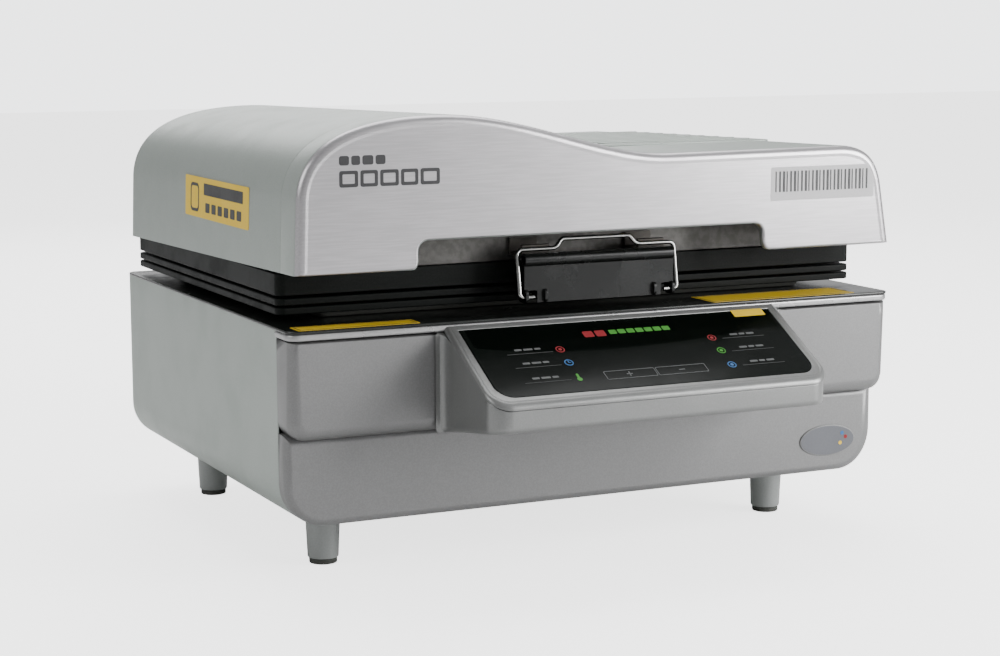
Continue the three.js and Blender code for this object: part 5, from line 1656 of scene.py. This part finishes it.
# ---------------------------------------------------------------- studio
@dataclass
class Studio:
    """Floor, sky, lamps and camera.

    Attributes:
        eye: Where the camera stands, in metres.
        heading: Its direction from +y towards +x, in degrees.
        tilt: How far it looks down, in degrees.
        roll: Its roll, in degrees.
        lens: Its focal length.
        middle: What the lamps face, in metres.
        sky_light: Strength of the sky in the middle.
        sky_slope: How much stronger it is on the right.
        backdrop: Strength of the sky as the camera sees it.
        floor_lift: Glow of the floor as the camera sees it.
    """

    eye: tuple[float, float, float] = (-0.9184, -1.9015, 0.4941)
    heading: float = 25.53
    tilt: float = 8.29
    roll: float = -0.16
    lens: float = 78.1
    middle: tuple[float, float, float] = (0.0, 0.0, 0.22)
    sky_light: float = 0.3
    sky_slope: float = 0.45
    backdrop: float = 3.4
    floor_lift: float = 2.4

    def floor(self) -> None:
        """A plain pale floor."""
        shell = Shell()
        reach, drop = 9, -0.0004
        corners = ((-reach, -reach), (reach, -reach), (reach, reach), (-reach, reach))
        shell.fill(shell.ring([Vector((*corner, drop)) for corner in corners]))
        floor = shell.piece("floor")
        material = PALE.material()
        wiring = Wiring(material.node_tree)
        shader = next(n for n in material.node_tree.nodes if n.type == "BSDF_PRINCIPLED")
        seen = wiring.node("ShaderNodeLightPath").outputs["Is Camera Ray"]
        wiring.link(wiring.math("MULTIPLY", seen, self.floor_lift), shader.inputs["Emission Strength"])
        shader.inputs["Emission Color"].default_value = (1, 1, 1, 1)
        floor.data.materials.append(material)

    def sky(self, wiring: Wiring, background: bpy.types.Node) -> None:
        """Soft light from all round, stronger from the right, behind a pale backdrop.

        Args:
            wiring: The world's node tree.
            background: Its background shader.
        """
        split = wiring.node("ShaderNodeSeparateXYZ")
        wiring.link(wiring.node("ShaderNodeTexCoord").outputs["Generated"], split.inputs[0])
        side = wiring.spread(split.outputs["X"], -1.0, 1.0)
        light = wiring.math("ADD", wiring.math("MULTIPLY", side, self.sky_slope), self.sky_light)
        seen = wiring.node("ShaderNodeLightPath").outputs["Is Camera Ray"]
        lift = wiring.math("MULTIPLY", seen, wiring.math("SUBTRACT", self.backdrop, light))
        wiring.link(wiring.math("ADD", light, lift), background.inputs["Strength"])
        background.inputs["Color"].default_value = (0.96, 0.97, 0.98, 1)

    def lamp(self, name: str, place: Sequence[float], size: Sequence[float], power: float) -> None:
        """A rectangular soft lamp.

        Args:
            name: Its name.
            place: Where it hangs, in metres.
            size: Its width and height.
            power: Watts.
        """
        light = bpy.data.lights.new(name, "AREA")
        light.shape = "RECTANGLE"
        light.size, light.size_y = size
        light.energy = power
        lamp = make_object(name, light)
        lamp.location = place
        lamp.rotation_euler = (Vector(self.middle) - Vector(place)).to_track_quat("-Z", "Y").to_euler()

    def build(self) -> None:
        """Sets up the floor, the lamps, the sky and the camera."""
        self.floor()
        self.lamp("key", (1.4, -1.45, 0.75), (0.9, 1.0), 50)
        self.lamp("fill", (-2.5, -0.3, 1.5), (1.6, 1.4), 22)
        self.lamp("overhead", (0.3, 0.8, 2.5), (2.4, 2.0), 56)
        self.lamp("rear", (0.6, 2.6, 1.4), (1.8, 1.2), 20)
        world = bpy.data.worlds.new("studio")
        bpy.context.scene.world = world
        world.use_nodes = True
        self.sky(Wiring(world.node_tree), world.node_tree.nodes["Background"])
        camera = bpy.data.cameras.new("camera")
        camera.sensor_width = 36
        camera.lens = self.lens
        camera.clip_start = 0.05
        viewer = make_object("camera", camera)
        viewer.location = self.eye
        heading, tilt = math.radians(self.heading), math.radians(self.tilt)
        level = math.cos(tilt)
        ahead = Vector((math.sin(heading) * level, math.cos(heading) * level, -math.sin(tilt)))
        turn = ahead.to_track_quat("-Z", "Y").to_matrix() @ Matrix.Rotation(math.radians(self.roll), 3, "Z")
        viewer.rotation_euler = turn.to_euler()
        bpy.context.scene.camera = viewer


def main() -> None:
    """Builds every sub-assembly in order."""
    logging.basicConfig(level=logging.INFO, format="%(message)s")
    for kind in (Studio, Base, Console, Bands, Lid, Latch, RearFittings, Hinges, Inside):
        LOG.info("building %s", kind.__name__)
        kind().build()


if __name__ == "__main__":
    main()
